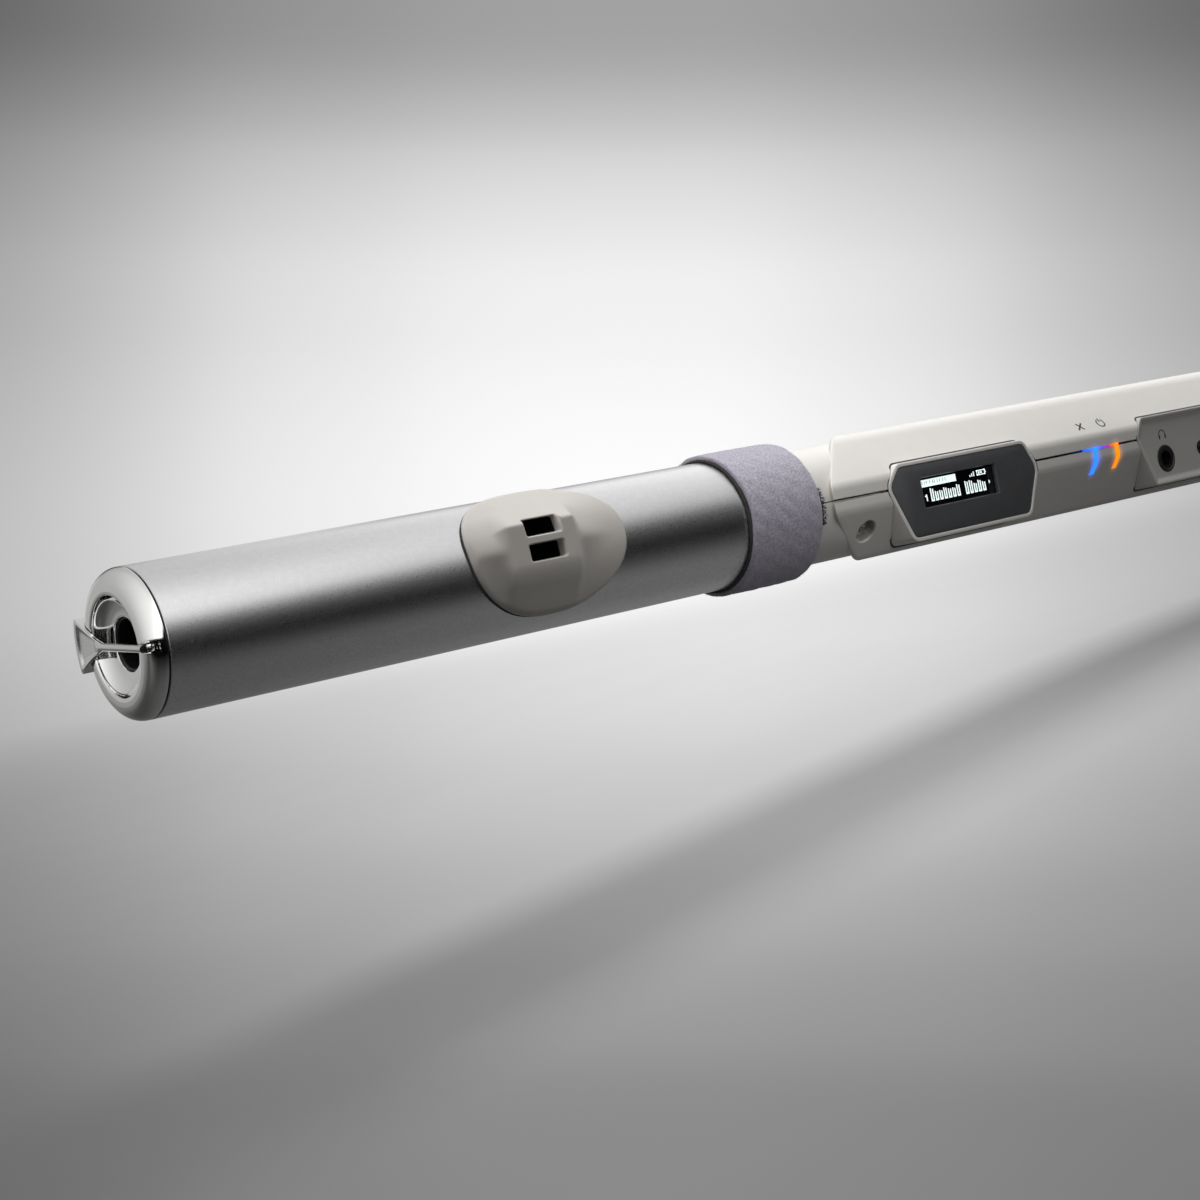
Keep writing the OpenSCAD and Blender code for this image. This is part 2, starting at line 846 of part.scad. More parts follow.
// The main board rests on the jack's body, with its chips and a row of capacitors on top
module main_board() {
    z = jack_z + jack_body / 2 + 0.1;
    top = z + board_t - eps;
    color("seagreen") {
        block([212, -4.6, z], [322, 10, z + board_t]);
        block([222, -3, top], [232, 7, top + 1.2]);
        block([258, 0, top], [270, 8, top + 1]);
        block([285, -2, top], [291, 4, top + 1.6]);
        for (i = [0:5]) {
            translate([238 + i * 3.2, 5, top]) cylinder(r = 1.2, h = 1.8, $fn = 20);
        }
    }
}

cell_x = 400;
cell_gap = 3;
cell_end = cell_x + 2 * cell_len + cell_gap;
cell_z = -2.8;
cell_cap_t = 1.4;

module battery_cells() {
    color("royalblue") for (i = [0, 1]) {
        translate([cell_x + i * (cell_len + cell_gap), 0, cell_z]) {
            rod_x(cell_d / 2, 0, cell_len);
            rod_x(2.6, cell_len - eps, cell_len + cell_cap_t);
        }
    }
}

module battery_cradle() {
    r = cell_d / 2 + 0.15;
    color("dimgray") difference() {
        intersection() {
            block([cell_x - 3, -9, -half_h], [cell_end + 3.5, 9, cell_z - 1]);
            along_x(casing(case_wall + 0.1), case_x + 40, foot_x);
        }
        translate([0, 0, cell_z]) rod_x(r, cell_x - 0.5, cell_end + cell_cap_t + 0.4);
    }
}

// How far the face of the buttons' board is from the axis, and how thick its switches are
button_board_y = panel_floor - 5.4;
switch_t = 0.9;

module button_board() {
    y = button_board_y;
    color("seagreen") {
        block([button_x - 5, -y, -6.2], [button_x + 3 * button_pitch + 5, -y + board_t, 1]);
        for (i = [0:3]) {
            button_place(i) block([-1.6, -y - switch_t, -1.6], [1.6, -y, 1.6]);
        }
    }
}

// A round cap with a collar behind the panel and a stem that meets its switch
module button(i) {
    back = panel_floor - panel_t;
    stem = button_board_y + switch_t + button_travel + fit;
    button_place(i) {
        pin_y(button_r, panel_floor + button_proud, back - 0.4);
        pin_y(button_r + 0.6, back - 0.05, back - 1.05);
        pin_y(1.2, stem + 1.5, stem);
    }
}

module power_button() {
    color("dimgray") button(0);
}

module minus_button() {
    color("dimgray") button(1);
}

module plus_button() {
    color("dimgray") button(2);
}

module menu_button() {
    color("dimgray") button(3);
}

// The keys' board, notched for the shell's webs, with four chips below
module key_board() {
    under = key_board_z - board_t;
    half_t = web_t / 2 + fit;
    half_web = web_w / 2 + fit;
    color("seagreen") {
        difference() {
            block([294, -key_board_w / 2, under], [586, key_board_w / 2, key_board_z]);
            for (x = screw_x) {
                translate([x, 0, 0]) block([-half_t, -half_web, 0], [half_t, half_web, half_h]);
            }
        }
        for (x = [318, 372, 534, 562]) {
            translate([x, 0, under]) block([-3.5, -3.5, -1.4], [3.5, 3.5, 0]);
        }
    }
}

// Silicone domes that the keys press, standing on their board through the shell
module key_domes() {
    neck = dome_top - 0.5;
    color("gray") {
        dome_places() {
            translate([0, 0, key_board_z]) cylinder(r = dome_r, h = neck - key_board_z, $fn = 32);
            translate([0, 0, neck - eps]) cylinder(r = dome_r - 0.6, h = 0.5 + eps, $fn = 32);
        }
        for (x = [thumb_b_x, thumb_b_flat_x]) {
            on_slope() translate([x, 1, slope_face + 0.02]) cylinder(r = 1.8, h = 0.9, $fn = 32);
        }
    }
}

// A post's head, a barrel round the rod
module post_head() {
    r = post_head_d / 2;
    end = r * 0.8;
    rotate([0, 90, 0]) rotate_extrude($fn = 32) polygon([[rod_bore_r, -end], [r * 0.75, -end], [r, -r * 0.3],
        [r, r * 0.3], [r * 0.75, end], [rod_bore_r, end]]);
}

module post_shank(height, foot) {
    difference() {
        translate([0, 0, -height + 0.02]) {
            cylinder(r = post_r, h = height - 0.02, $fn = 24);
            cylinder(r = post_r + 0.8, h = foot, $fn = 24);
        }
        rod_x(rod_bore_r + 0.3, -5, 5);
    }
}

module post() {
    post_head();
    rotate([90 - slope, 0, 0]) post_shank(rod_lift, 0.9);
}

module thumb_post() {
    post_head();
    rotate([90, 0, 0]) post_shank(thumb_post_h, 0.3);
}

thumb_global = [thumb_rod_y * cos(thumb_turn) - thumb_rod_z * sin(thumb_turn),
    thumb_rod_y * sin(thumb_turn) + thumb_rod_z * cos(thumb_turn)];
thumb_post_h = -half_w - thumb_global[0] - 0.02;

module key_posts() {
    color("silver") {
        for (x = concat(left_posts, right_posts, foot_posts)) {
            translate([x, rod_y, rod_z]) post();
        }
        for (x = thumb_posts) {
            translate([x, thumb_global[0], thumb_global[1]]) thumb_post();
        }
    }
}

// A rod as long as its row of posts
module rod_between(posts) {
    last = posts[len(posts) - 1];
    rod_x(rod_r, posts[0] - post_head_d / 2, last + post_head_d / 2);
}

module left_rod() {
    color("gray") translate([0, rod_y, rod_z]) rod_between(left_posts);
}

module right_rod() {
    color("gray") translate([0, rod_y, rod_z]) rod_between(right_posts);
}

module foot_rod() {
    color("gray") translate([0, rod_y, rod_z]) rod_between(foot_posts);
}

module thumb_rod() {
    color("gray") translate([0, thumb_global[0], thumb_global[1]]) rod_between(thumb_posts);
}

function before_last(list) = [for (i = [0:len(list) - 2]) list[i]];

// Needle springs, set in the posts below the rods
module key_springs() {
    y = rod_y + spring_drop * cos(slope);
    z = rod_z - spring_drop * sin(slope);
    sprung = concat(before_last(left_posts), before_last(right_posts), before_last(foot_posts));
    color("steelblue") for (x = sprung) {
        translate([x + post_r + 0.02, y, z]) rod_x(spring_r, 0, spring_len);
    }
}

// The end plate, with a hollow plug that goes into the shells
module foot_cap() {
    color("gainsboro") {
        along_x(casing(0), foot_x + 0.05, foot_x + foot_cap_t);
        difference() {
            along_x(casing(case_wall + fit), foot_x - 5, foot_x + 0.05 + eps);
            along_x(casing(case_wall + 1.6), foot_x - 6, foot_x);
        }
    }
}

// A hinge tube on a rod at the place given, and its hollow
module hinge_tube(x, length, y, z) {
    translate([x, y, z]) rod_x(hinge_r, -length / 2, length / 2);
}

module hinge_hollow(x, y, z) {
    translate([x, y, z]) rod_x(rod_bore_r, -20, 20);
}

// An arm from the hinge tube over to a touch whose underside is at cup_z
module arm(x, width, reach) {
    low = cup_z + 0.3;
    high = cup_z + cup_t - 0.4;
    along_x([[rod_y - 0.9, rod_z + 0.9], [rod_y + 1.2, rod_z + 0.4], [rod_y + 3.6, low], [reach, low],
        [reach, high], [rod_y + 2.2, high]], x - width / 2, x + width / 2);
}

// Half of a cup cut through its middle: a soft edge and a dished top
function cup_profile() =
    let (r = cup_d / 2, t = cup_t)
    [[0, 0], [r - 0.4, 0], [r, 0.4], [r, t - 0.9], [r - 0.9, t], [r - 2.6, t - 0.25], [r * 0.4, t - 0.6],
        [0, t - 0.7]];

module cup_key(x) {
    color("silver") difference() {
        union() {
            hinge_tube(x, hinge_len, rod_y, rod_z);
            arm(x, arm_w, 2 - cup_d / 2);
            translate([x, 0, cup_z]) rotate_extrude() polygon(cup_profile());
        }
        hinge_hollow(x, rod_y, rod_z);
    }
}

// A rounded touch from y = a to y = b
module paddle(x, width, a, b) {
    r = 2.4;
    t = cup_t - 0.4;
    half = width / 2;
    translate([x, 0, cup_z]) {
        for (s = [-1, 1]) {
            translate([s * (half - r), a + r, 0]) cylinder(r = r, h = t, $fn = 32);
            translate([s * (half - r), b - r, 0]) cylinder(r = r, h = t, $fn = 32);
        }
        block([r - half, a, 0], [half - r, b, t]);
        block([-half, a + r, 0], [half, b - r, t]);
    }
}

module paddle_key(x, width, length, a, b) {
    color("silver") difference() {
        union() {
            hinge_tube(x, length, rod_y, rod_z);
            arm(x, arm_w, a + 3);
            paddle(x, width, a, b);
        }
        hinge_hollow(x, rod_y, rod_z);
    }
}

// A thumb key, drawn on the slope: its tube, a short arm and a curved touch
module thumb_key(x) {
    a = thumb_rod_y;
    z = thumb_touch_z;
    color("silver") on_slope() difference() {
        union() {
            hinge_tube(x, hinge_len, a, thumb_rod_z);
            along_x([[a + 0.6, thumb_rod_z + 1], [a - 1.7, thumb_rod_z - 0.6], [a - 2.4, z], [a - 4, z],
                [a - 4, z + 1.8], [a - 1.4, z + 1.8]], x - 4.5, x + 4.5);
            translate([0, 0, z - cup_z]) paddle(x, 14, -2.8, 6);
        }
        hinge_hollow(x, a, thumb_rod_z);
    }
}

module c_key() {
    cup_key(c_x);
}

module a_key() {
    cup_key(a_x);
}

module g_key() {
    cup_key(g_x);
}

module g_sharp_key() {
    paddle_key(g_sharp_x, 9, hinge_len, -2.5, 13);
}

module thumb_b_key() {
    thumb_key(thumb_b_x);
}

module thumb_b_flat_key() {
    thumb_key(thumb_b_flat_x);
}

module trill_d_key() {
    paddle_key(trill_d_x, trill_w, trill_hinge, -7.5, 4);
}

module trill_d_sharp_key() {
    paddle_key(trill_d_sharp_x, trill_w, trill_hinge, -7.5, 4);
}

module f_key() {
    cup_key(f_x);
}

module e_key() {
    cup_key(e_x);
}

module d_key() {
    cup_key(d_x);
}

module e_flat_key() {
    paddle_key(e_flat_x, 12, hinge_len, -7, 6);
}

module low_c_sharp_key() {
    paddle_key(low_c_sharp_x, paddle_w, hinge_len, -7, 5);
}

module low_c_key() {
    paddle_key(low_c_x, paddle_w, hinge_len, -7, 5);
}

crown_cap();
crown_core();
bail();
bail_pin();
head_tube();
lip_plate();
lip_seal();
breath_duct();
breath_sensor_board();
band_cover();
band_lining();
band_hook_patch();
tenon_ring();
upper_shell();
lower_shell();
shell_screws();
display_frame();
display_bezel();
display_glass();
display_board();
light_guide_link();
light_guide_power();
light_board();
socket_panel();
phones_jack();
usb_socket();
main_board();
battery_cells();
battery_cradle();
button_board();
power_button();
minus_button();
plus_button();
menu_button();
key_board();
key_domes();
key_posts();
left_rod();
right_rod();
foot_rod();
thumb_rod();
key_springs();
foot_cap();
c_key();
a_key();
g_key();
g_sharp_key();
thumb_b_key();
thumb_b_flat_key();
trill_d_key();
trill_d_sharp_key();
f_key();
e_key();
d_key();
e_flat_key();
low_c_sharp_key();
low_c_key();
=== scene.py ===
import json
import math
import random

import bmesh
import bpy
from mathutils import Matrix, Vector

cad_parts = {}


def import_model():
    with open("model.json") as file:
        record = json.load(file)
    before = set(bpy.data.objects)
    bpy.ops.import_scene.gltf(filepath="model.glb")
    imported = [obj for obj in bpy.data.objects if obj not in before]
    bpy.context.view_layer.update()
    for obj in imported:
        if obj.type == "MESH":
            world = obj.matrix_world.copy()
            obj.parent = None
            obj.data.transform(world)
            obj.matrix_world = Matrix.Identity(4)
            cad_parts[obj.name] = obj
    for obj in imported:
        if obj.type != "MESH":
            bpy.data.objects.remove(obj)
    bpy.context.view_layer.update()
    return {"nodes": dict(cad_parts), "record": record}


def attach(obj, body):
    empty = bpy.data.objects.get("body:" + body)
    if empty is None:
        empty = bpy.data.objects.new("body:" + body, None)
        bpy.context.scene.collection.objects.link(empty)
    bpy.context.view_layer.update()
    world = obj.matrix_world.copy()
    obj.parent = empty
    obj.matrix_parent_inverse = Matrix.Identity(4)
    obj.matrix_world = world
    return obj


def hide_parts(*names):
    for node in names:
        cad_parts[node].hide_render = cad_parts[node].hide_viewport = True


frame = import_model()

# Digital flute. Points are written in millimetres in the CAD frame: x from the crown's seam along the
# tube, the player on the -y side, z up.
MM = 0.001
nodes = frame["nodes"]
random.seed(7)

# Sizes. BAR_W, FAN_LEN, FAN_LIP and TOP_R follow the photograph, and the others the CAD model
TUBE_R = 12.7
TUBE_BORE_R = 11.8
TUBE_LEN = 136
CROWN_PROUD = 3.1
CROWN_ROUND = 3
BOWL_R = 8.4
BOWL_DEPTH = 2.2
CROWN_HOLE_R = 4.5
SPIGOT_LEN = 9
CROWN_ROLL = 6
BAR_X = 3.3
BAR_W = 1.22
BAR_T = 0.9
FAN_W = 9.2
FAN_LEN = 9.5
FAN_LIP = 0.62
PIN_X = -2.25
PIN_R = 10.7
LIP_X = 74.7
LIP_LEN = 35
LIP_HALF_ANGLE = 59
LIP_TILT = 15
LIP_T = 1.5
SLOT_W = 7.4
SLOT_H = 3
SLOT_BAR = 1.5
SLOT_MID_Z = 3.8
BAND_X = 124.3
BAND_W = 18.5
BAND_IN_R = 13.27
BAND_OUT_R = 14.05
HOOKS_Z = (-4.3, 3.1)
HALF_W = 12.9
HALF_H = 13
SIDE_FLAT = 5.7
TOP_FLAT = 9.8
EDGE_R = 3
TOP_R = 5.4
CASE_X = 146.8
CASE_WALL = 1.8
FOOT_X = 641
FOOT_CAP_T = 3
END_SLANT = 1.2
SEAM_GAP = 0.2
NECK_R = 11.72
NECK_BORE_R = 9.72
TENON_X = 112
BEZEL = [(163.2, 0.3), (167.8, -10.8), (203.3, -10.8), (207.9, -1.5), (204.9, 4), (166.6, 4)]
BEZEL_ROUND = [2.2, 1.6, 1.6, 3, 1.6, 1.6]
FRAME_BORDER = 0.9
FRAME_FACE = 13.1
OLED_X = 172.3
OLED_LEN = 22.8
OLED_Z = -2.1
OLED_H = 6.2
GLASS_FACE = 12.05
LINK_X = 228.3
POWER_X = 235.9
LIGHT_W = 1.5
LIGHT_DROP = 5.6
PANEL = [(243.2, 0), (247.4, -11.3), (317, -11.3), (321.2, 0), (318.4, 4.7), (246, 4.7)]
PANEL_ROUND = [1.2, 0.8, 0.8, 1.2, 1.2, 1.2]
PANEL_DIP = 0.5
INSERT_BACK = 5.2
JACK = (253.1, -5.6)
JACK_R = 3.05
USB = (269.4, -4.8)
BUTTON_X = 284
BUTTON_PITCH = 9.5
BUTTON_Z = -2.6
BUTTON_R = 2.6
SCREW_X = [157.7, 392, 512, 618]
DOME_X = [303, 330.5, 357, 440, 467, 494, 381, 525.5, 546, 564, 408, 418]
SLOPE = math.atan2(HALF_W - TOP_FLAT / 2, HALF_H - SIDE_FLAT / 2)
SLOPE_FACE = HALF_W * math.cos(SLOPE) + SIDE_FLAT / 2 * math.sin(SLOPE)


# Mesh helpers

def linked(name, data):
    obj = bpy.data.objects.new(name, data)
    bpy.context.scene.collection.objects.link(obj)
    return obj


def make(name, points, faces):
    mesh = bpy.data.meshes.new(name)
    mesh.from_pydata([(p[0] * MM, p[1] * MM, p[2] * MM) for p in points], [], faces)
    edit = bmesh.new()
    edit.from_mesh(mesh)
    bmesh.ops.remove_doubles(edit, verts=edit.verts, dist=1e-7)
    bmesh.ops.recalc_face_normals(edit, faces=edit.faces)
    if edit.calc_volume(signed=True) < 0:
        bmesh.ops.reverse_faces(edit, faces=edit.faces)
    edit.to_mesh(mesh)
    edit.free()
    return linked(name, mesh)


def settle(obj):
    """Turns what the modifiers make into the object's own mesh"""
    graph = bpy.context.evaluated_depsgraph_get()
    mesh = bpy.data.meshes.new_from_object(obj.evaluated_get(graph))
    obj.modifiers.clear()
    old = obj.data
    obj.data = mesh
    bpy.data.meshes.remove(old)
    return obj


def cut(obj, others):
    for other in others:
        change = obj.modifiers.new("cut", "BOOLEAN")
        change.operation = "DIFFERENCE"
        change.solver = "MANIFOLD"
        change.object = other
        settle(obj)
        bpy.data.objects.remove(other)
    return obj


def join(name, parts):
    """One object out of several closed shells"""
    edit = bmesh.new()
    for part in parts:
        edit.from_mesh(part.data)
        bpy.data.objects.remove(part)
    mesh = bpy.data.meshes.new(name)
    edit.to_mesh(mesh)
    edit.free()
    return linked(name, mesh)


def soften(obj, width, steps=2, angle=40):
    change = obj.modifiers.new("soften", "BEVEL")
    change.width = width * MM
    change.segments = steps
    change.limit_method = "ANGLE"
    change.angle_limit = math.radians(angle)
    change.use_clamp_overlap = True
    return settle(obj)


def place(obj, body, material, stands_for=(), angle=32):
    """Gives a finished piece its shading, its material and its body"""
    obj.data.polygons.foreach_set("use_smooth", [True] * len(obj.data.polygons))
    obj.data.set_sharp_from_angle(angle=math.radians(angle))
    obj.data.materials.clear()
    obj.data.materials.append(material)
    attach(obj, body)
    if stands_for:
        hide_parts(*stands_for)
    return obj


def loft(rings, caps=True, wrap=False):
    n = len(rings[0])
    points = [p for ring in rings for p in ring]
    faces = []
    last = len(rings) if wrap else len(rings) - 1
    for i in range(last):
        a, b = i * n, (i + 1) % len(rings) * n
        for j in range(n):
            k = (j + 1) % n
            faces.append((a + j, a + k, b + k, b + j))
    if caps and not wrap:
        faces.append(tuple(range(n)))
        faces.append(tuple((len(rings) - 1) * n + j for j in range(n)))
    return points, faces


def turned(name, steps, profile_of):
    """A ring round the x axis, whose closed outline of (x, radius) points may change with the turn"""
    rings = []
    for i in range(steps):
        t = 2 * math.pi * i / steps
        rings.append([(x, -r * math.cos(t), r * math.sin(t)) for x, r in profile_of(t)])
    return make(name, *loft(rings, wrap=True))


def lathe(name, profile, steps=96):
    return turned(name, steps, lambda t: profile)


def box(name, low, high):
    (x0, y0, z0), (x1, y1, z1) = low, high
    rings = [[(x, y0, z0), (x, y1, z0), (x, y1, z1), (x, y0, z1)] for x in (x0, x1)]
    return make(name, *loft(rings))


def pin_y(name, x, z, stations, steps=48, ring=False):
    """A turned solid, or a closed ring, whose axis is along y, from (y, radius) stations"""
    turns = [2 * math.pi * i / steps for i in range(steps)]
    rings = [[(x + r * math.cos(t), y, z + r * math.sin(t)) for t in turns] for y, r in stations]
    return make(name, *loft(rings, wrap=ring))


def turn_x(obj, degrees):
    obj.data.transform(Matrix.Rotation(math.radians(degrees), 4, "X"))
    return obj


def arc(cx, cy, r, a, b, steps):
    """Points on an arc from a to b degrees"""
    turn = [math.radians(a + (b - a) * i / steps) for i in range(steps + 1)]
    return [(cx + r * math.cos(t), cy + r * math.sin(t)) for t in turn]


def smooth(a, b, v):
    t = min(1, max(0, (v - a) / (b - a)))
    return t * t * (3 - 2 * t)


def mix(a, b, t):
    return a + (b - a) * t


def rounded(points, radii, steps=6):
    """A convex outline with an arc at each corner"""
    arcs = []
    n = len(points)
    for i, r in enumerate(radii):
        corner = Vector(points[i])
        back = (Vector(points[i - 1]) - corner).normalized()
        ahead = (Vector(points[(i + 1) % n]) - corner).normalized()
        half = back.angle(ahead) / 2
        middle = corner + (back + ahead).normalized() * (r / math.sin(half))
        start = corner + back * (r / math.tan(half)) - middle
        end = corner + ahead * (r / math.tan(half)) - middle
        for k in range(steps + 1):
            way = start.lerp(end, k / steps)
            arcs.append(tuple(middle + way.normalized() * r))
    return arcs


def grown(points, d):
    """A convex anticlockwise outline with every side moved out by d"""
    moved = []
    n = len(points)
    for i in range(n):
        last, here, following = (Vector(points[(i + k) % n]) for k in (-1, 0, 1))
        to_here, onward = here - last, following - here
        out_before = Vector((to_here.y, -to_here.x)).normalized()
        out_after = Vector((onward.y, -onward.x)).normalized()
        moved.append(tuple(here + (out_before + out_after) * (d / (1 + out_before.dot(out_after)))))
    return moved


def outline(points, radii, d):
    return rounded(grown(points, d), [max(0.05, r + d) for r in radii])


def prism_y(name, stations):
    """Outlines in x and z, stacked along y, from (y, outline) stations"""
    return make(name, *loft([[(x, y, z) for x, z in points] for y, points in stations]))


def prism_z(name, points, low, high):
    return make(name, *loft([[(x, y, z) for x, y in points] for z in (low, high)]))


# Materials

def fill(tree, node, inputs):
    """Sets a node's inputs to numbers or colours, or links them to other nodes' sockets"""
    for name, value in inputs.items():
        if isinstance(value, bpy.types.NodeSocket):
            tree.links.new(value, node.inputs[name])
        else:
            node.inputs[name].default_value = value


def add(tree, kind, inputs=None, operation=None):
    node = tree.nodes.new("ShaderNode" + kind)
    if operation:
        node.operation = operation
    fill(tree, node, inputs or {})
    return node


def number(tree, operation, *values):
    return add(tree, "Math", dict(enumerate(values)), operation).outputs["Value"]


def vector(tree, operation, inputs, output="Vector"):
    return add(tree, "VectorMath", inputs, operation).outputs[output]


def along(tree, way, axis):
    """How far a direction leans along an axis"""
    return vector(tree, "DOT_PRODUCT", {0: way, 1: axis}, "Value")


def from_range(tree, value, low, high, out_low=0.0, out_high=1.0, soft=False):
    node = add(tree, "MapRange", {"Value": value, "From Min": low, "From Max": high, "To Min": out_low,
                                  "To Max": out_high})
    node.interpolation_type = "SMOOTHSTEP" if soft else "LINEAR"
    return node.outputs["Result"]


def choose(tree, factor, a, b):
    """a where factor is 0, b where it is 1"""
    return add(tree, "Mix", {"Factor": factor, "A": a, "B": b}).outputs["Result"]


def ramp(tree, factor, stops, interpolation="LINEAR"):
    """A colour read off stops of (place, colour)"""
    node = add(tree, "ValToRGB", {"Fac": factor})
    node.color_ramp.interpolation = interpolation
    elements = node.color_ramp.elements
    while len(elements) < len(stops):
        elements.new(0.5)
    for element, (at, colour) in zip(elements, stops):
        element.position = at
        element.color = (*colour, 1)
    return node.outputs["Color"]


def curve(tree, value, stops):
    """A tone read off a smooth curve through stops of (value, tone). The product makes the grey a number"""
    low, high = stops[0][0], stops[-1][0]
    greys = [((at - low) / (high - low), (tone, tone, tone)) for at, tone in stops]
    colour = ramp(tree, from_range(tree, value, low, high), greys, "CARDINAL")
    return number(tree, "MULTIPLY", colour, 1.0)


def blank(name):
    material = bpy.data.materials.new(name)
    material.use_nodes = True
    tree = material.node_tree
    return material, tree, tree.nodes["Principled BSDF"]


def look(name, colour, rough, metal=0.0, mottle=0.04, mottle_scale=300, grain=0.0, grain_scale=4000,
         rough_vary=0.04, stretch=(1, 1, 1), coat=0.0, sheen=0.0, emit=None, emit_strength=1.0):
    """A procedural material: mottled colour, uneven roughness and a fine grain. Scales are per metre."""
    material, tree, shader = blank(name)
    spot = add(tree, "TexCoord").outputs["Object"]
    spot = add(tree, "Mapping", {"Vector": spot, "Scale": stretch}).outputs["Vector"]
    broad = add(tree, "TexNoise", {"Vector": spot, "Scale": mottle_scale, "Detail": 4}).outputs["Fac"]
    fine = add(tree, "TexNoise", {"Vector": spot, "Scale": grain_scale, "Detail": 2}).outputs["Fac"]
    dark = [c * (1 - mottle) for c in colour]
    pale = [min(1, c * (1 + mottle)) for c in colour]
    fill(tree, shader, {
        "Base Color": ramp(tree, broad, [(0.3, dark), (0.7, pale)]),
        "Roughness": from_range(tree, fine, 0.3, 0.7, max(0.02, rough - rough_vary), rough + rough_vary),
        "Metallic": metal, "Coat Weight": coat, "Coat Roughness": 0.15,
        "Sheen Weight": sheen, "Sheen Roughness": 0.5})
    if emit:
        fill(tree, shader, {"Emission Color": (*emit, 1), "Emission Strength": emit_strength})
    if grain:
        bump = add(tree, "Bump", {"Strength": 1, "Distance": grain * MM, "Height": fine})
        fill(tree, shader, {"Normal": bump.outputs["Normal"]})
    return material


CHROME = look("chrome", (0.78, 0.775, 0.76), 0.07, metal=1, mottle=0.02, rough_vary=0.02)
BRUSHED_CHROME = look("brushed_chrome", (0.72, 0.72, 0.71), 0.2, metal=1, grain=0.004, grain_scale=5000,
                      stretch=(1, 0.2, 1))
ALUMINIUM = look("satin_aluminium", (0.66, 0.66, 0.665), 0.3, metal=1, mottle=0.03, mottle_scale=900,
                 grain=0.007, grain_scale=5200, rough_vary=0.04)
LIP = look("lip_plastic", (0.61, 0.58, 0.54), 0.46, mottle=0.015, grain=0.006, grain_scale=4500)
SHELL = look("shell_plastic", (0.8, 0.775, 0.735), 0.42, mottle=0.012, grain=0.005, grain_scale=4200)
BEZEL_LOOK = look("bezel_plastic", (0.08, 0.082, 0.086), 0.42, mottle=0.06, grain=0.01, grain_scale=5000)
# Real black plastic, and also painted shade where black pieces stand in the casing's seams, gaps and hollows
BLACK_AND_SHADE = look("black_plastic", (0.012, 0.012, 0.013), 0.38, mottle=0.1, grain=0.008)
GLASS = look("display_glass", (0.004, 0.004, 0.005), 0.12, coat=0.6, mottle=0.1)
SUEDE = look("suede", (0.465, 0.436, 0.515), 0.95, mottle=0.3, mottle_scale=2400, grain=0.09,
             grain_scale=3600, sheen=0.35)
NAP = look("suede_nap", (0.58, 0.54, 0.64), 0.95, mottle=0.3, mottle_scale=1500, sheen=0.3)
LINING = look("lining", (0.055, 0.05, 0.048), 0.95, mottle=0.4, mottle_scale=2500, grain=0.12)
RUBBER = look("rubber", (0.022, 0.022, 0.022), 0.7, mottle=0.15, grain=0.02)
BOARD = look("board_green", (0.02, 0.13, 0.06), 0.4, mottle=0.2, mottle_scale=500, grain=0.01, coat=0.3)
STEEL = look("steel", (0.58, 0.58, 0.58), 0.24, metal=1, grain=0.003, stretch=(0.15, 1, 1))
DARK_STEEL = look("dark_steel", (0.06, 0.06, 0.062), 0.35, metal=1, mottle=0.15, grain=0.004)
SILVER = look("key_silver", (0.84, 0.835, 0.81), 0.14, metal=1, mottle=0.02, rough_vary=0.03)
SILICONE = look("silicone", (0.2, 0.2, 0.2), 0.6, mottle=0.06, grain=0.01)
CELL = look("cell_wrap", (0.03, 0.1, 0.32), 0.35, mottle=0.05, coat=0.2)
MARK = look("printed_mark", (0.05, 0.05, 0.05), 0.6, mottle=0.1)
# Painted shade: the shell's plastic, made darker for the socket panel, which stands in shade
PANEL_SHADED_PLASTIC = look("panel_plastic_painted_shade", (0.55, 0.535, 0.51), 0.42, mottle=0.012, grain=0.005, grain_scale=4200)
LIT = look("lit_pixels", (0.8, 0.85, 0.85), 0.5, emit=(0.78, 0.92, 0.9), emit_strength=0.95)
BUTTON_LOOK = look("button_plastic", (0.2, 0.198, 0.19), 0.5, mottle=0.04, grain=0.01)


def glow(tree, spot, centre, size, colour):
    """Light that spreads in the plastic round a light strip, fading to nothing at size (x, z)"""
    sx, sz = 1 / (size[0] * MM), 1 / (size[1] * MM)
    shift = (-centre[0] * MM * sx, 0, -centre[1] * MM * sz)
    near = add(tree, "Mapping", {"Vector": spot, "Scale": (sx, 0, sz), "Location": shift})
    length = vector(tree, "LENGTH", {0: near.outputs["Vector"]}, "Value")
    fade = add(tree, "MapRange", {"Value": length, "To Min": 1, "To Max": 0})
    fade.interpolation_type = "SMOOTHERSTEP"
    return vector(tree, "SCALE", {0: colour, "Scale": fade.outputs["Result"]})


def add_glow(material):
    """The lit strips shine a little through the shell round them, on the player's side only"""
    tree = material.node_tree
    spot = add(tree, "TexCoord").outputs["Object"]
    blue = glow(tree, spot, (LINK_X, -2.6), (2.9, 5.2), (0.12, 0.16, 1.1))
    orange = glow(tree, spot, (POWER_X, -2.4), (2.8, 5.0), (0.75, 0.22, 0.01))
    y = add(tree, "SeparateXYZ", {"Vector": spot}).outputs["Y"]
    near_side = number(tree, "LESS_THAN", y, -9 * MM)
    light = vector(tree, "SCALE", {0: vector(tree, "ADD", {0: blue, 1: orange}), "Scale": near_side})
    fill(tree, tree.nodes["Principled BSDF"], {"Emission Color": light, "Emission Strength": 0.55})


add_glow(SHELL)


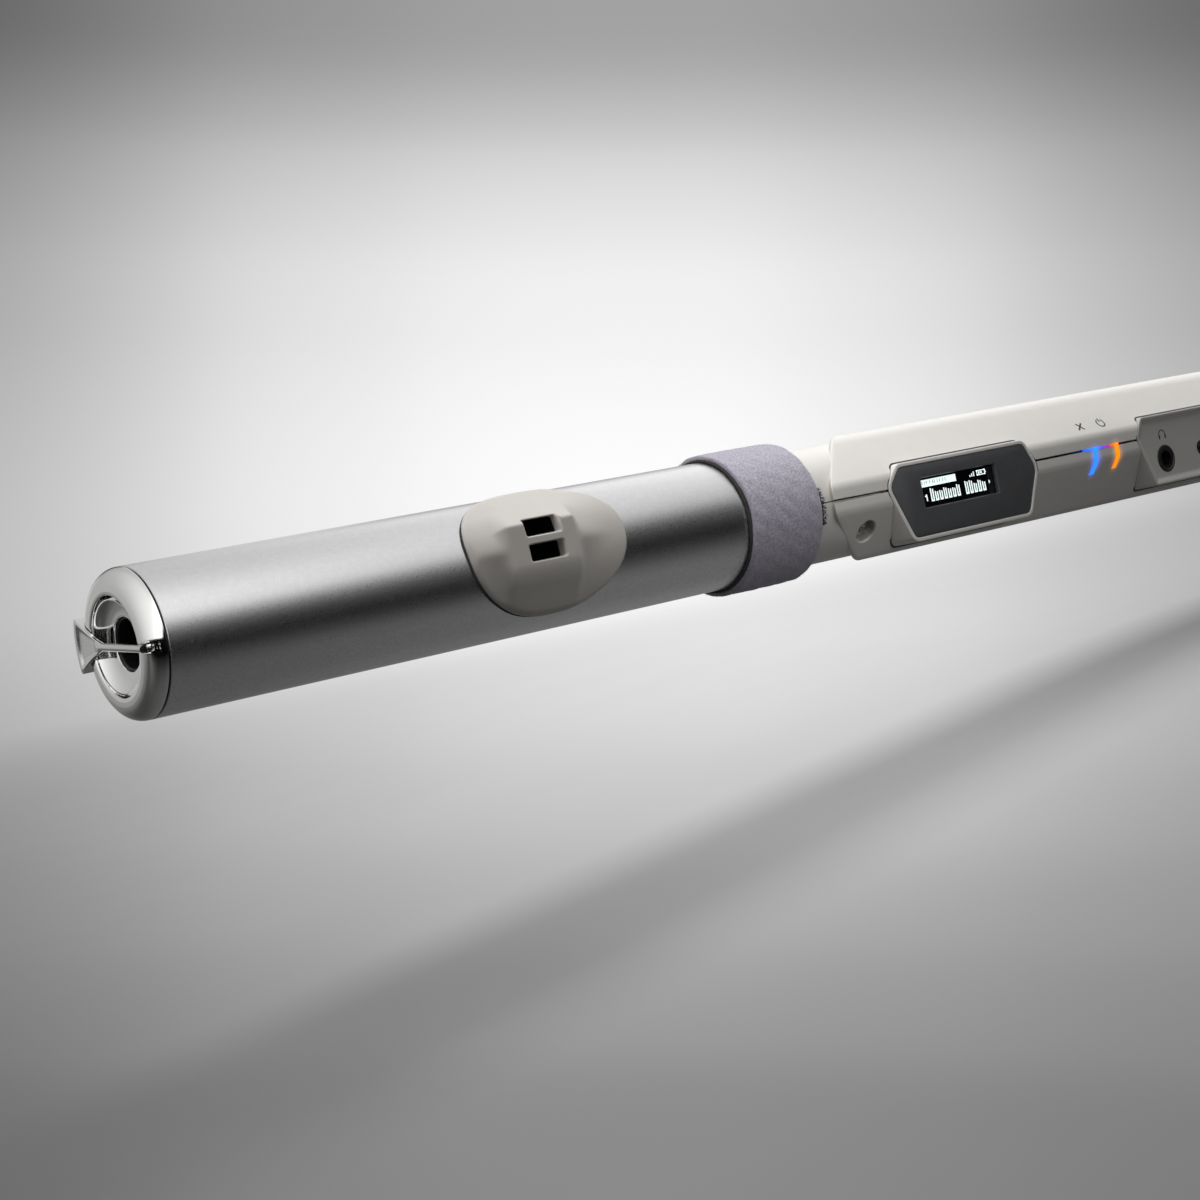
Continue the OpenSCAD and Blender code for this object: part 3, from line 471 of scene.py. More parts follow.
def strip_look():
    """Blue on the left, through purple, to orange on the right, with hot middles"""
    material, tree, shader = blank("light_strip")
    spot = add(tree, "TexCoord").outputs["Object"]
    x = add(tree, "SeparateXYZ", {"Vector": spot}).outputs["X"]
    stops = [(0, (0.02, 0.1, 0.95)), (0.28, (0.03, 0.27, 1)), (0.36, (0.03, 0.27, 1)),
             (0.5, (0.12, 0.06, 0.8)), (0.66, (0.45, 0.03, 0.25)), (0.74, (0.95, 0.14, 0.01)),
             (0.82, (1, 0.27, 0)), (1, (1, 0.3, 0.01))]
    colour = ramp(tree, from_range(tree, x, (LINK_X - 4) * MM, (POWER_X + 2) * MM), stops)
    fill(tree, shader, {"Base Color": colour, "Emission Color": colour, "Emission Strength": 1,
                        "Roughness": 0.4})
    return material


STRIP = strip_look()


# The head

def crown_profile():
    """From the seam over the rounded rim, down the bowl and through the hole to the spigot's end"""
    proud = 0.03
    front = -CROWN_PROUD
    bottom = front + BOWL_DEPTH
    points = [(-proud, TUBE_R - 0.12)]
    for i in range(25):
        t = math.pi / 2 * i / 24
        x = front - proud + CROWN_ROUND * (1 - math.sin(t))
        points.append((x, TUBE_R - CROWN_ROUND * (1 - math.cos(t))))
    points += [(front - proud, 9.2), (front - proud, BOWL_R + 0.3), (front + 0.02, BOWL_R + 0.1),
               (front + 0.12, BOWL_R + 0.02)]
    for i in range(2, 25):
        t = math.pi / 2 * i / 24
        points.append((front + BOWL_DEPTH * math.sin(t), mix(CROWN_HOLE_R + 0.2, BOWL_R, math.cos(t))))
    points += [(bottom + 0.06, CROWN_HOLE_R + 0.06), (bottom + 0.2, CROWN_HOLE_R), (SPIGOT_LEN, CROWN_HOLE_R)]
    return points + [(SPIGOT_LEN, TUBE_BORE_R - 0.1), (-proud, TUBE_BORE_R - 0.1)]


def lug(side):
    """One of the two discs that hold the bar's hinge pin"""
    disc = prism_z("lug", arc(PIN_X, -PIN_R, 0.86, 0, 350, 35), side * 0.7, side * 1.05)
    return soften(disc, 0.1)


def crown():
    cap = lathe("crown_cap_turned", crown_profile(), 192)
    notch = turn_x(box("notch", (-5, -13.5, -0.7), (-1.15, -9.6, 0.7)), CROWN_ROLL)
    cut(cap, [notch])
    lugs = [turn_x(lug(side), CROWN_ROLL) for side in (-1, 1)]
    place(join("crown_cap_polished", [cap] + lugs), "head", CHROME, ["crown_cap"], angle=40)
    # Painted shade: a black lining that makes the crown's chrome hole dark
    sleeve = [(-0.35, 4.1), (-0.5, 4.25), (-0.5, 4.42), (-0.3, 4.47), (8.7, 4.47), (8.7, 4.1)]
    place(lathe("crown_hole_shade", sleeve), "head", BLACK_AND_SHADE)
    seam_ring = [(0, TUBE_BORE_R), (0, 12.3), (0.28, 12.3), (0.28, TUBE_BORE_R)]
    place(lathe("crown_seam_shadow", seam_ring), "head", BLACK_AND_SHADE)


def bar_half(y):
    f = max(0, (y - (TUBE_R + 0.1 - FAN_LEN)) / FAN_LEN)
    return BAR_W / 2 + (FAN_W - BAR_W) / 2 * f ** 1.28


def bail_top(y, s, end):
    """Height of the bar's top at y and at the share s of its half width"""
    bar = BAR_T * math.sqrt(1 - 0.75 * s * s)
    rib = 0.2 + 0.4 * smooth(0.66, 0.92, abs(s)) - 0.15 * smooth(0.94, 1, abs(s))
    fan = mix(bar, rib, smooth(3.8, 7.6, y))
    return mix(fan, FAN_LIP - 0.1 * smooth(0.9, 1, abs(s)), smooth(end - 1.3, end - 0.6, y))


def crown_front(ring):
    """x of the crown's outside at a distance from its axis"""
    out = min(max(0, ring - TUBE_R + CROWN_ROUND), CROWN_ROUND - 0.35)
    return -CROWN_PROUD + CROWN_ROUND - math.sqrt(CROWN_ROUND ** 2 - out ** 2) - 0.03


def bail_bar():
    """Cross-sections from the hinge to the fan's lip. Each end is a wall from the top to the underside"""
    rows, across = 91, 24
    rings = []
    for i in range(rows):
        f = 1 - (1 - i / (rows - 1)) ** 1.25
        half = bar_half(-PIN_R + f * (TUBE_R + 0.15 + PIN_R))
        top, low = [], []
        for j in range(across + 1):
            s = math.sin((2 * j / across - 1) * math.pi / 2)
            z = s * half
            end = math.sqrt((TUBE_R + 0.3) ** 2 - z * z)
            y = -PIN_R - 0.6 + f * (end + PIN_R + 0.6)
            under = mix(-BAR_X + 0.02, crown_front(math.hypot(y, z)) - 0.07, smooth(8.8, 10, y))
            top.append((-BAR_X - bail_top(y, s, end), y, z))
            low.append((under, y, z))
        flat = low + low[::-1]
        rings += [flat, top + low[::-1]] if i == 0 else [top + low[::-1]]
    return make("bar", *loft(rings + [flat], caps=False))


def bail():
    bar = bail_bar()
    knuckle = prism_z("knuckle", arc(PIN_X, -PIN_R, 0.88, 0, 345, 23), -BAR_W / 2, BAR_W / 2)
    soften(knuckle, 0.12)
    web = box("web", (-4, -PIN_R - 0.55, -BAR_W / 2 + 0.02), (PIN_X - 0.4, -PIN_R + 0.55, BAR_W / 2 - 0.02))
    piece = turn_x(join("bail_bar_fan", [bar, knuckle, web]), CROWN_ROLL)
    place(piece, "bail", BRUSHED_CHROME, ["bail"], angle=38)


def head_tube():
    start, c = 0.3, 0.12
    profile = [(start, TUBE_R - c), (start + c, TUBE_R)]
    profile += [(mix(start + c, TUBE_LEN - c, i / 20), TUBE_R) for i in range(1, 21)]
    profile += [(TUBE_LEN, TUBE_R - c), (TUBE_LEN, TUBE_BORE_R), (start, TUBE_BORE_R)]
    tube = lathe("head_tube_satin", profile, 256)
    behind_slots = box("behind_slots", (LIP_X - 4, -16, SLOT_MID_Z - 4), (LIP_X + 4, -6, SLOT_MID_Z + 4))
    cut(tube, [behind_slots])
    place(tube, "head", ALUMINIUM, ["head_tube"])


# The lip plate: a dome on the tube, with a ridge of soft facets in its middle

def soft_max(a, b, softness):
    share = max(0, min(1, 0.5 + 0.5 * (a - b) / softness))
    return mix(b, a, share) + softness * share * (1 - share)


def soft_min(a, b, softness):
    return -soft_max(-a, -b, softness)


# Faces of the ridge, as (angle in degrees, distance from the tube's axis, softness of the edge)
RIDGE_FACES = [(-50.3, 14.1, 1.3), (-12.3, 15.6, 1.6), (42, 14.15, 0.35)]
# The plate's middle from that of the slots, in mm, and how much lower its lower edge is, in degrees
LIP_SHIFT = 1.8
LIP_LOWER = 4


def ridge_radius(turn, softness):
    ridge = 40
    for angle, distance, soft in RIDGE_FACES:
        reach = distance / max(0.2, math.cos(math.radians(turn - angle)))
        ridge = soft_min(ridge, reach, max(soft, softness))
    return ridge


def plate_radius(u, turn, rim):
    """Distance from the tube's axis, u mm past the slots, turn degrees up and rim mm from the outline"""
    edge = min(1, rim)
    base = TUBE_R + 0.1 + 0.76 * math.sqrt(max(0, 1 - (1 - edge) ** 2)) + 0.12 * smooth(0, 8, rim)
    up = max(0, turn - 9) / 33
    left, right = -u - 8.6 + 1.9 * up, u - 6.3 - 1.1 * up
    ends = smooth(-0.6, 2.2, max(left, right))
    ridge = mix(ridge_radius(turn, 0), ridge_radius(turn, 6), ends)
    ridge -= 0.26 * soft_max(0, left, 1.2) + 0.3 * soft_max(0, right, 0.15)
    ridge = soft_min(ridge, base + 0.8 * max(0, rim - 0.4), 0.3)
    return soft_max(base, ridge, 0.9)


def plate_outline(a, grow=0.0):
    """A point of a squared ellipse that is laid round the tube: mm along it and mm across it"""
    squareness = 2 / 2.35
    along_tube, across = [math.copysign(abs(v) ** squareness, v) for v in (math.cos(a), math.sin(a))]
    half_angle = LIP_HALF_ANGLE if across > 0 else LIP_HALF_ANGLE + LIP_LOWER
    half_w = (TUBE_R + LIP_T) * math.sin(math.radians(half_angle))
    return (LIP_LEN / 2 + grow) * along_tube, (half_w + grow) * across


def turn_of(w):
    return math.degrees(math.asin(max(-1, min(1, w / (TUBE_R + LIP_T)))))


def plate_point(u, turn, radius):
    t = math.radians(turn)
    return (LIP_X + u, -radius * math.cos(t), radius * math.sin(t))


def lip_plate():
    """Rings from the middle out over the face to the rim, and back along the tube"""
    rings_n, around = 60, 240
    rings, lows = [], []
    for i in range(rings_n + 1):
        f = 1 - (1 - i / rings_n) ** 1.6
        ring, low = [], []
        for j in range(around):
            u0, w0 = plate_outline(2 * math.pi * j / around)
            u, turn = u0 * f + LIP_SHIFT, turn_of(w0 * f)
            rim = (1 - f) * math.hypot(u0, w0)
            ring.append(plate_point(u, turn + LIP_TILT, plate_radius(u, turn, rim)))
            low.append(plate_point(u, turn + LIP_TILT, TUBE_R + 0.03))
        rings.append(ring)
        lows.append(low)
    plate = make("lip_plate_moulded", *loft(rings + lows[::-1], caps=False))
    cut(plate, [slot_cutter(side) for side in (-1, 1)])
    place(plate, "head", LIP, ["lip_plate"], angle=50)
    sleeves = join("slot_sleeves", [slot_sleeve(side) for side in (-1, 1)])
    place(sleeves, "head", BLACK_AND_SHADE)


def lip_seal():
    """The gasket, which shows most under the plate's lower left edge"""
    rings = []
    for j in range(240):
        a = 2 * math.pi * j / 240
        show = 0.02 + 0.34 * max(0, math.cos(a - math.radians(205))) ** 2
        ring = []
        for grow, r in ((show, 0.02), (show, 0.24), (show - 0.1, 0.3), (-0.9, 0.3), (-0.9, 0.02)):
            u, w = plate_outline(a, grow)
            ring.append(plate_point(u + LIP_SHIFT, turn_of(w) + LIP_TILT, TUBE_R + r))
        rings.append(ring)
    seal = make("lip_seal_moulded", *loft(rings, wrap=True))
    place(seal, "head", RUBBER, ["lip_seal"])


def plate_face(x, z):
    """The plate's y at a place seen from the player's side"""
    y = -18.5
    while y < -8:
        turn = math.degrees(math.atan2(z, -y)) - LIP_TILT
        if math.hypot(y, z) <= plate_radius(x - LIP_X, turn, 8):
            break
        y += 0.02
    return y


def slot_ring(side, grow, corner, depth, y=None):
    """The outline of a slot, depth mm behind the plate's face or at a fixed y"""
    z = SLOT_MID_Z + side * (SLOT_BAR + SLOT_H) / 2
    half = (SLOT_W / 2 + grow, SLOT_H / 2 + grow * 0.55)
    middle = LIP_X - 0.6
    corners = [(middle - half[0], z - half[1]), (middle + half[0], z - half[1]),
               (middle + half[0], z + half[1]), (middle - half[0], z + half[1])]
    ring = rounded(corners, [corner] * 4, 4)
    return [(x, plate_face(x, zz) + depth if y is None else y, zz) for x, zz in ring]


def slot_cutter(side):
    """A slot with a flared mouth that follows the plate's face"""
    steps = ((0, 0.6), (0.08, 0.34), (0.22, 0.13), (0.42, 0.01), (0.52, -0.1))
    rings = [slot_ring(side, grow, 0.45 + grow * 0.4, depth) for grow, depth in steps]
    rings = [slot_ring(side, 0, 0.45, 0, -6)] + rings + [slot_ring(side, 0.52, 0.65, 0, -19)]
    return make("slot", *loft(rings))


def slot_sleeve(side):
    """The dark mouth of the breath duct inside a slot"""
    steps = ((-0.01, 1.9), (-0.01, 8), (-0.16, 8), (-0.16, 1.9))
    return make("sleeve", *loft([slot_ring(side, grow, 0.3, depth) for grow, depth in steps], wrap=True))


# The band round the joint

def suede_profile(t):
    """The band's outline at a turn of t, a little wavy and lumpy"""
    wave = 0.12 * math.sin(3 * t + 0.6) + 0.07 * math.sin(7 * t)
    left, right = BAND_X + 0.15 + wave, BAND_X + BAND_W - 0.15 + 0.6 * wave
    across, edge = 44, 0.4
    outer = arc(right - edge, BAND_OUT_R - edge, edge, 0, 90, 5)
    for k in range(1, across):
        f = k / across
        outer.append((mix(right - edge, left + edge, f), BAND_OUT_R + 0.1 * math.sin(math.pi * f)))
    outer += arc(left + edge, BAND_OUT_R - edge, edge, 90, 180, 5)
    lumpy = []
    for x, r in outer:
        lump = 0.035 * math.sin(x * 1.7 + 4 * math.sin(t * 5)) + 0.03 * math.sin(t * 23 + x * 0.9)
        lumpy.append((x, r + lump))
    return lumpy + [(left, BAND_IN_R), (right, BAND_IN_R)]


def suede_band():
    band = turned("band_suede", 320, suede_profile)
    place(band, "head", SUEDE, ["band_cover"], angle=60)
    suede_nap()
    band_lining()
    hook_patch()


def suede_nap():
    """Short fibres that stand up from the suede, each a small closed spike"""
    points, faces = [], []
    for _ in range(5200):
        t = random.uniform(0, 2 * math.pi)
        at_edge = random.random() < 0.24
        if at_edge:
            x = random.choice((BAND_X + 0.2, BAND_X + BAND_W - 0.2)) + random.uniform(-0.08, 0.08)
            r = random.uniform(BAND_IN_R + 0.1, BAND_OUT_R)
        else:
            x = random.uniform(BAND_X + 0.3, BAND_X + BAND_W - 0.3)
            r = BAND_OUT_R
        out = Vector((0, -math.cos(t), math.sin(t)))
        round_way = Vector((0, math.sin(t), math.cos(t)))
        base = Vector((x, 0, 0)) + out * r
        lean = Vector((random.uniform(-1, 1), 0, 0)) + round_way * random.uniform(-1, 1)
        if at_edge:
            outwards = math.copysign(1.1, x - BAND_X - BAND_W / 2)
            lean = Vector((outwards, 0, 0)) + round_way * random.uniform(-1, 1)
        way = (out * random.uniform(0.25, 0.7) + lean * 0.5).normalized() * random.uniform(0.12, 0.3)
        spike(points, faces, base, base + way, way.cross(out + Vector((0.3, 0.2, 0.1))), 0.03)
    return place(make("band_suede_nap", points, faces), "head", NAP)


def lining_profile(t):
    """The dark lining, whose frayed edge shows at the band's left side"""
    fray = 0.05 * math.sin(9 * t) + 0.04 * math.sin(47 * t) + 0.03 * math.sin(91 * t + 1)
    left, right = BAND_X - 0.3 + fray, BAND_X + BAND_W - 0.8
    inner, outer = TUBE_R + 0.08, BAND_IN_R - 0.02
    return [(left + 0.02, inner), (left - 0.05, 13), (left + 0.05, outer - 0.03), (right, outer),
            (right, inner)]


def band_lining():
    lining = turned("band_lining_felt", 320, lining_profile)
    return place(lining, "head", LINING, ["band_lining"])


def hooks():
    """A fuzz of short dark hooks"""
    points, faces = [], []
    for _ in range(900):
        z = random.uniform(*HOOKS_Z)
        x = BAND_X + BAND_W - 0.4 + random.random() ** 1.6 * 2.4
        r = 12.3 + 0.45 * random.random()
        base = Vector((x, -math.sqrt(r * r - z * z), z))
        way = Vector((random.uniform(-0.15, 0.5), random.uniform(-0.4, 0.05), random.uniform(-0.3, 0.3)))
        sideways = Vector((0, random.uniform(-1, 1), random.uniform(-1, 1)))
        spike(points, faces, base, base + way, sideways, 0.06)
    return make("hooks", points, faces)


def hook_patch():
    """The end of the strip of hooks, a fuzzy dark patch at the band's edge"""
    fuzz = hooks()
    edge = BAND_X + BAND_W
    strip = []
    for k in range(25):
        z = mix(*HOOKS_Z, k / 24)
        low, high = -math.sqrt(12.1 ** 2 - z * z), -math.sqrt(12.45 ** 2 - z * z)
        x0, x1 = edge - 3, edge + 1.5 + 0.12 * math.sin(2.2 * k)
        strip.append([(x0, low, z), (x1, low, z), (x1, high, z), (x0, high, z)])
    patch = join("band_hooks", [fuzz, make("strip", *loft(strip))])
    return place(patch, "head", LINING, ["band_hook_patch"])


def spike(points, faces, base, tip, sideways, width):
    """Adds one fibre, a small closed spike"""
    way = tip - base
    across = (sideways - way * (sideways.dot(way) / way.length_squared)).normalized() * width
    other = way.cross(across).normalized() * width
    n = len(points)
    for p in (base + across, base - across * 0.5 + other, base - across * 0.5 - other, tip):
        points.append(tuple(p))
    faces += [(n, n + 2, n + 1), (n, n + 1, n + 3), (n + 1, n + 2, n + 3), (n + 2, n, n + 3)]


# The casing

def seam(x, y, upper):
    """How far a shell's edge is from the middle of the seam. The player's side opens towards the neck"""
    if y > 0:
        return SEAM_GAP / 2
    return SEAM_GAP / 2 + 0.16 * smooth(16, 0, x - CASE_X) + (0 if upper else 0.28)


def half_outline(inset, upper, low):
    """The casing's outline across x for one shell, drawn in by inset, from the far seam to the near one"""
    side, top = SIDE_FLAT / 2, TOP_FLAT / 2
    slope = math.degrees(SLOPE)
    out = [(HALF_W - inset, low)]
    corners = ((HALF_W, side, 0, slope), (top, HALF_H, slope, 90), (-top, HALF_H, 90, 180 - slope),
               (-HALF_W, side, 180 - slope, 180))
    for y, z, a, b in corners:
        r = max(TOP_R if upper and z == HALF_H else EDGE_R, inset)
        back = r / math.cos(math.radians((b - a) / 2))
        mid = math.radians((a + b) / 2)
        out += arc(y - back * math.cos(mid), z - back * math.sin(mid), r - inset, a, b, 5)
    out.append((inset - HALF_W, low))
    return [(y, z if upper else -z) for y, z in out]


def casing_ring(inset, x):
    """Both shells' outline, without the seam, at x"""
    up, down = [half_outline(inset, upper, 0)[1:-1] for upper in (True, False)]
    return [(x, y, z) for y, z in up + down[::-1]]


def shell_solid(name, inset, upper, start, end, round_r):
    """One half of the casing as a solid, with its slanted end rounded"""
    rings = []
    outer = half_outline(inset, upper, SEAM_GAP / 2)
    steps = 5 if round_r else 0
    for k in range(steps + 1):
        t = math.pi / 2 * k / max(1, steps)
        ring = []
        for j, (y, z) in enumerate(outer):
            r = round_r * (0.55 + 0.9 * smooth(5, 12, abs(z)))
            inner = half_outline(inset + r * (1 - math.sin(t)), upper, SEAM_GAP / 2)[j]
            x = CASE_X + start + END_SLANT * (inner[0] + HALF_W) + r * 1.3 * (1 - math.cos(t))
            ring.append((x, *inner))
        rings.append(ring)
    along_casing = [150, 153, 157, 163, 170, 180] + [mix(200, end, i / 12) for i in range(13)]
    for x in along_casing:  # near the slanted end, a ring's points are moved to lie past it
        rings.append([(max(x, rings[steps][j][0] + 0.05 * (len(rings) - steps)), y, z)
                      for j, (y, z) in enumerate(outer)])
    points, faces = loft(rings)
    sign = 1 if upper else -1
    moved = []
    for x, y, z in points:
        if abs(z) < SEAM_GAP:  # the seam's edge
            z = sign * (seam(x, y, upper) if inset == 0 else SEAM_GAP / 2)
        moved.append((x, y, z))
    return make(name, moved, faces)


def neck_half(upper):
    """Half of the neck and its tenon. Its hidden end follows the casing's slanted end"""
    rings = []
    a, b = (0, 180) if upper else (180, 360)
    gap = SEAM_GAP / 2 * (1 if upper else -1)
    for x, r in ((TENON_X, NECK_R - 0.3), (TENON_X + 0.3, NECK_R), (TUBE_LEN, NECK_R), (161.5, NECK_R)):
        ring = arc(0, gap, r, a, b, 48) + arc(0, gap, NECK_BORE_R, b, a, 48)
        slant = END_SLANT if x > 160 else 0
        rings.append([(x + slant * max(0, y), y, z) for y, z in ring])
    return make("neck", *loft(rings))


def side_cutters():
    cutters = []
    for points, radii, border in ((BEZEL, BEZEL_ROUND, FRAME_BORDER), (PANEL, PANEL_ROUND, 0)):
        shape = outline(points, radii, border + 0.16)
        cutters.append(prism_y("insert_hole", [(-20, shape), (-INSERT_BACK + 0.4, shape)]))
    return cutters


def shells():
    for upper, node in ((True, "upper_shell"), (False, "lower_shell")):
        name = node + "_moulded"
        shell = shell_solid(name, 0, upper, 0, FOOT_X, 1.0)
        hollow = shell_solid("hollow", CASE_WALL, upper, 2.8, FOOT_X + 2, 0)
        cut(shell, [hollow] + side_cutters())
        neck = neck_half(upper)
        if upper:
            holes = [prism_z("hole", arc(x, 0, 2.55, 0, 352.5, 47), 9, 16) for x in DOME_X]
        else:
            holes = [screw_hole(x) for x in SCREW_X]
            cut(neck, [screw_hole(SCREW_X[0])])
        cut(shell, holes)
        place(join(name, [shell, neck]), "body", SHELL, [node], angle=35)


def neck_shade_core():
    """A black sleeve inside the neck, behind the seam: painted shade that shows through the seam"""
    start, end = TENON_X + 1, BEZEL[1][0] - 1.8
    outer, inner = NECK_BORE_R - 0.07, 9.2
    core = lathe("neck_shade_core", [(start, outer), (end, outer), (end, inner), (start, inner)])
    place(core, "body", BLACK_AND_SHADE)


def insert_gap_shade(name, points, radii, border):
    """A black strip in the real gap round an insert, on the casing's wall: painted shade in the gap"""
    near = outline(points, radii, border + 0.01)
    narrow = outline(points, radii, border + 0.2)
    wide = outline(points, radii, border + 0.42)
    far = []
    for (x0, z0), (x1, z1) in zip(narrow, wide):
        # Painted shadow: the strip is wider under the insert and along its top, where the insert overhangs
        # the wall
        t = max(smooth(-6, -9, z0), 0.6 * smooth(3.6, 4.4, z0))
        far.append((mix(x0, x1, t), mix(z0, z1, t)))
    rings = []
    for edge, out in ((far, -0.6), (far, 0.03), (near, 0.03), (near, -0.6)):
        rings.append([(x, wall_point(z, out), z) for x, z in edge])
    place(make(name, *loft(rings, wrap=True)), "body", BLACK_AND_SHADE)


def seam_shade_strips():
    """Black strips inside the casing, behind the seam, as painted shade seen through it: two on the player's
    side and one on the far side
    """
    strips = []
    for x0, x1, y in ((210, 241.5, -10.9), (323, 636, -10.9), (166, 636, 10.7)):
        strips.append(box("strip", (x0, y, -0.9), (x1, y + 0.2, 0.9)))
    place(join("seam_shade_strips", strips), "body", BLACK_AND_SHADE)


def on_slope(obj, x):
    """Moves what is drawn with z out from the axis onto the player's lower slope at x"""
    turn = Matrix.Rotation(math.pi / 2 + SLOPE, 4, "X")
    obj.data.transform(Matrix.Translation((x * MM, 0, 0)) @ turn)
    return obj


def screw_hole(x):
    rings = []
    for r, up in ((1.3, 4 - SLOPE_FACE), (1.3, -3), (2.45, -3), (2.45, -0.35), (2.75, 0.02), (3.2, 0.6)):
        rings.append([(px, py, SLOPE_FACE + up) for px, py in arc(0, 0, r, 0, 352.5, 47)])
    return on_slope(make("screw_hole", *loft(rings)), x)


# The display

def display_frame():
    """From the back over the face, whose edges are rounded, down to the bezel's seat"""
    d = FRAME_BORDER
    deep = FRAME_FACE - INSERT_BACK
    rings = []
    for inset, back in ((0, deep), (0, 0.3), (0.06, 0.12), (0.2, 0.02), (0.36, 0), (d - 0.16, 0),
                        (d - 0.07, 0.06), (d - 0.05, 1.05), (1.3, 1.05), (1.3, deep)):
        rings.append([(x, back - FRAME_FACE, z) for x, z in outline(BEZEL, BEZEL_ROUND, d - inset)])
    piece = make("display_frame_moulded", *loft(rings, wrap=True))
    place(piece, "body", SHELL, ["display_frame"])


def window(grow):
    """The lit window's corners, moved out by grow"""
    x0, x1 = OLED_X - grow, OLED_X + OLED_LEN + grow
    z0, z1 = OLED_Z - OLED_H / 2 - grow, OLED_Z + OLED_H / 2 + grow
    return [(x0, z1), (x0, z0), (x1, z0), (x1, z1)]


def display_bezel():
    face = -FRAME_FACE + 0.04
    stations = []
    for inset, back in ((0.06, 0.95), (0.06, 0.16), (0.1, 0.05), (0.22, 0)):
        stations.append((face + back, outline(BEZEL, BEZEL_ROUND, -inset)))
    bezel = prism_y("display_bezel_satin", stations)
    hole = []
    for back, grow in ((2, 0), (0.22, 0), (-0.02, 0.14), (-0.5, 0.3)):
        hole.append((face + back, rounded(window(grow), [0.15 + grow] * 4, 3)))
    cut(bezel, [prism_y("window", hole)])
    place(bezel, "body", BEZEL_LOOK, ["display_bezel"])


def display_glass():
    corners = window(2.3)
    (x0, z0), (x1, z1) = corners[1], corners[3]
    glass = soften(box("display_glass_black", (x0, -GLASS_FACE, z0), (x1, -10.7, z1)), 0.1)
    place(glass, "body", GLASS, ["display_glass"])


def plaque(x0, z0, x1, z1):
    """A lit rectangle on the glass, placed from the window's top left corner"""
    top = OLED_Z + OLED_H / 2
    back, front = -GLASS_FACE - 0.01, -GLASS_FACE - 0.03
    return box("plaque", (OLED_X + x0, front, top + z0), (OLED_X + x1, back, top + z1))


def screen_bar():
    """A bar with ticks in it"""
    left = 0.35
    x0 = left
    marks = []
    for x1 in (0.9, 1.7, 2.3, 3.2, 4.1, 4.6, 5.5, 6.2, 7.1, 7.9, 11.2):
        marks.append((x0, -1.45, left + x1 - 0.18, -0.75))
        x0 = left + x1
    return marks + [(left, -0.75, left + 11.02, -0.45), (left, -1.95, left + 11.02, -1.45)]


def battery_and_steps():
    """A battery with two lit cells, and three rising steps before it"""
    marks = []
    battery, foot = 17.9, -1.75
    for x0, z0, x1, z1 in ((0, 0, 2.6, 0.2), (0, 0.9, 2.6, 1.1), (0, 0, 0.2, 1.1), (2.4, 0, 2.6, 1.1),
                           (2.6, 0.35, 2.85, 0.75), (0.45, 0.32, 0.95, 0.8), (1.15, 0.32, 1.65, 0.8)):
        marks.append((battery + x0, foot + z0, battery + x1, foot + z1))
    for i in range(3):
        marks.append((15.6 + i * 0.6, foot, 15.9 + i * 0.6, foot + 0.4 + 0.3 * i))
    return marks


def level_bars():
    """Pairs of bars that are joined at their feet, and a small arrow after them"""
    marks = []
    foot, full = -5.15, 2.75
    for i, level in enumerate((1.0, 0.72, 0.72, 0.86, 0.72, 0.72, 0.9, 0, 1.0, 1.0, 0.72, 0.9, 0.72)):
        x = 3.05 + i * 1.33
        if level:
            marks.append((x, foot, x + 0.34, foot + full * level))
            marks.append((x + 0.62, foot, x + 0.96, foot + full * level * 0.93))
            marks.append((x + 0.34, foot, x + 0.62, -4.8))
    for i in range(4):
        marks.append((21.1 + i * 0.1, -3.9 + i * 0.1, 21.2 + i * 0.1, -3.1 - i * 0.1))
    return marks


def display_marks():
    """What the screen shows, all of it generic. The two loose rectangles are a narrow numeral one"""
    one = [(1.65, -4.9, 1.97, -3.5), (1.33, -4, 1.65, -3.7)]
    marks = [plaque(*mark) for mark in screen_bar() + battery_and_steps() + one + level_bars()]
    place(join("display_marks_lit", marks), "body", LIT)


# Lights, icons and the socket panel

def wall_point(z, out=0.0):
    """The y of the casing's wall at z, on the player's side"""
    path = half_outline(-out, z > 0, 0)
    best = -HALF_W - out
    for (y0, z0), (y1, z1) in zip(path, path[1:]):
        if y0 < 0 and min(z0, z1) - 1e-6 <= z <= max(z0, z1) + 1e-6 and abs(z1 - z0) > 1e-9:
            best = mix(y0, y1, (z - z0) / (z1 - z0))
    return best


def wall_strip(name, x_of, z0, z1, steps):
    """A strip on the casing's wall between z0 and z1, whose sides are x_of(z)"""
    out, back = 0.045, 0.5
    rings = []
    for i in range(steps + 1):
        z = mix(z0, z1, i / steps)
        x0, x1 = x_of(z)
        face, low = wall_point(z, out), wall_point(z, -back)
        e = min(0.25, (x1 - x0) / 4)
        rings.append([(x0, low, z), (x0, face + 0.04, z), (x0 + e * 0.4, face, z), (x1 - e * 0.4, face, z),
                      (x1, face + 0.04, z), (x1, low, z)])
    return make(name, *loft(rings))


def strip_sides(x, bend, trim_left, trim_right):
    """A light strip's sides at z: it leans to the left towards its lower end"""
    def sides(z):
        lean = bend * (z + 1) ** 2
        return x - LIGHT_W / 2 + trim_left - lean * 0.4, x + LIGHT_W / 2 - trim_right - lean * 0.15
    return sides


def lights():
    seam_strip = wall_strip("seam_strip", lambda z: (LINK_X - 3.6, POWER_X + 0.75), -0.42, 0.12, 4)
    blue = wall_strip("blue", strip_sides(LINK_X, 0.035, 0, 0), -LIGHT_DROP - 0.1, 0.1, 24)
    orange = wall_strip("orange", strip_sides(POWER_X, 0.04, 0.1, 0.05), -LIGHT_DROP + 0.3, 0.1, 24)
    place(join("light_strips_lit", [seam_strip, blue]), "body", STRIP, ["light_guide_link"])
    place(orange, "body", STRIP, ["light_guide_power"])


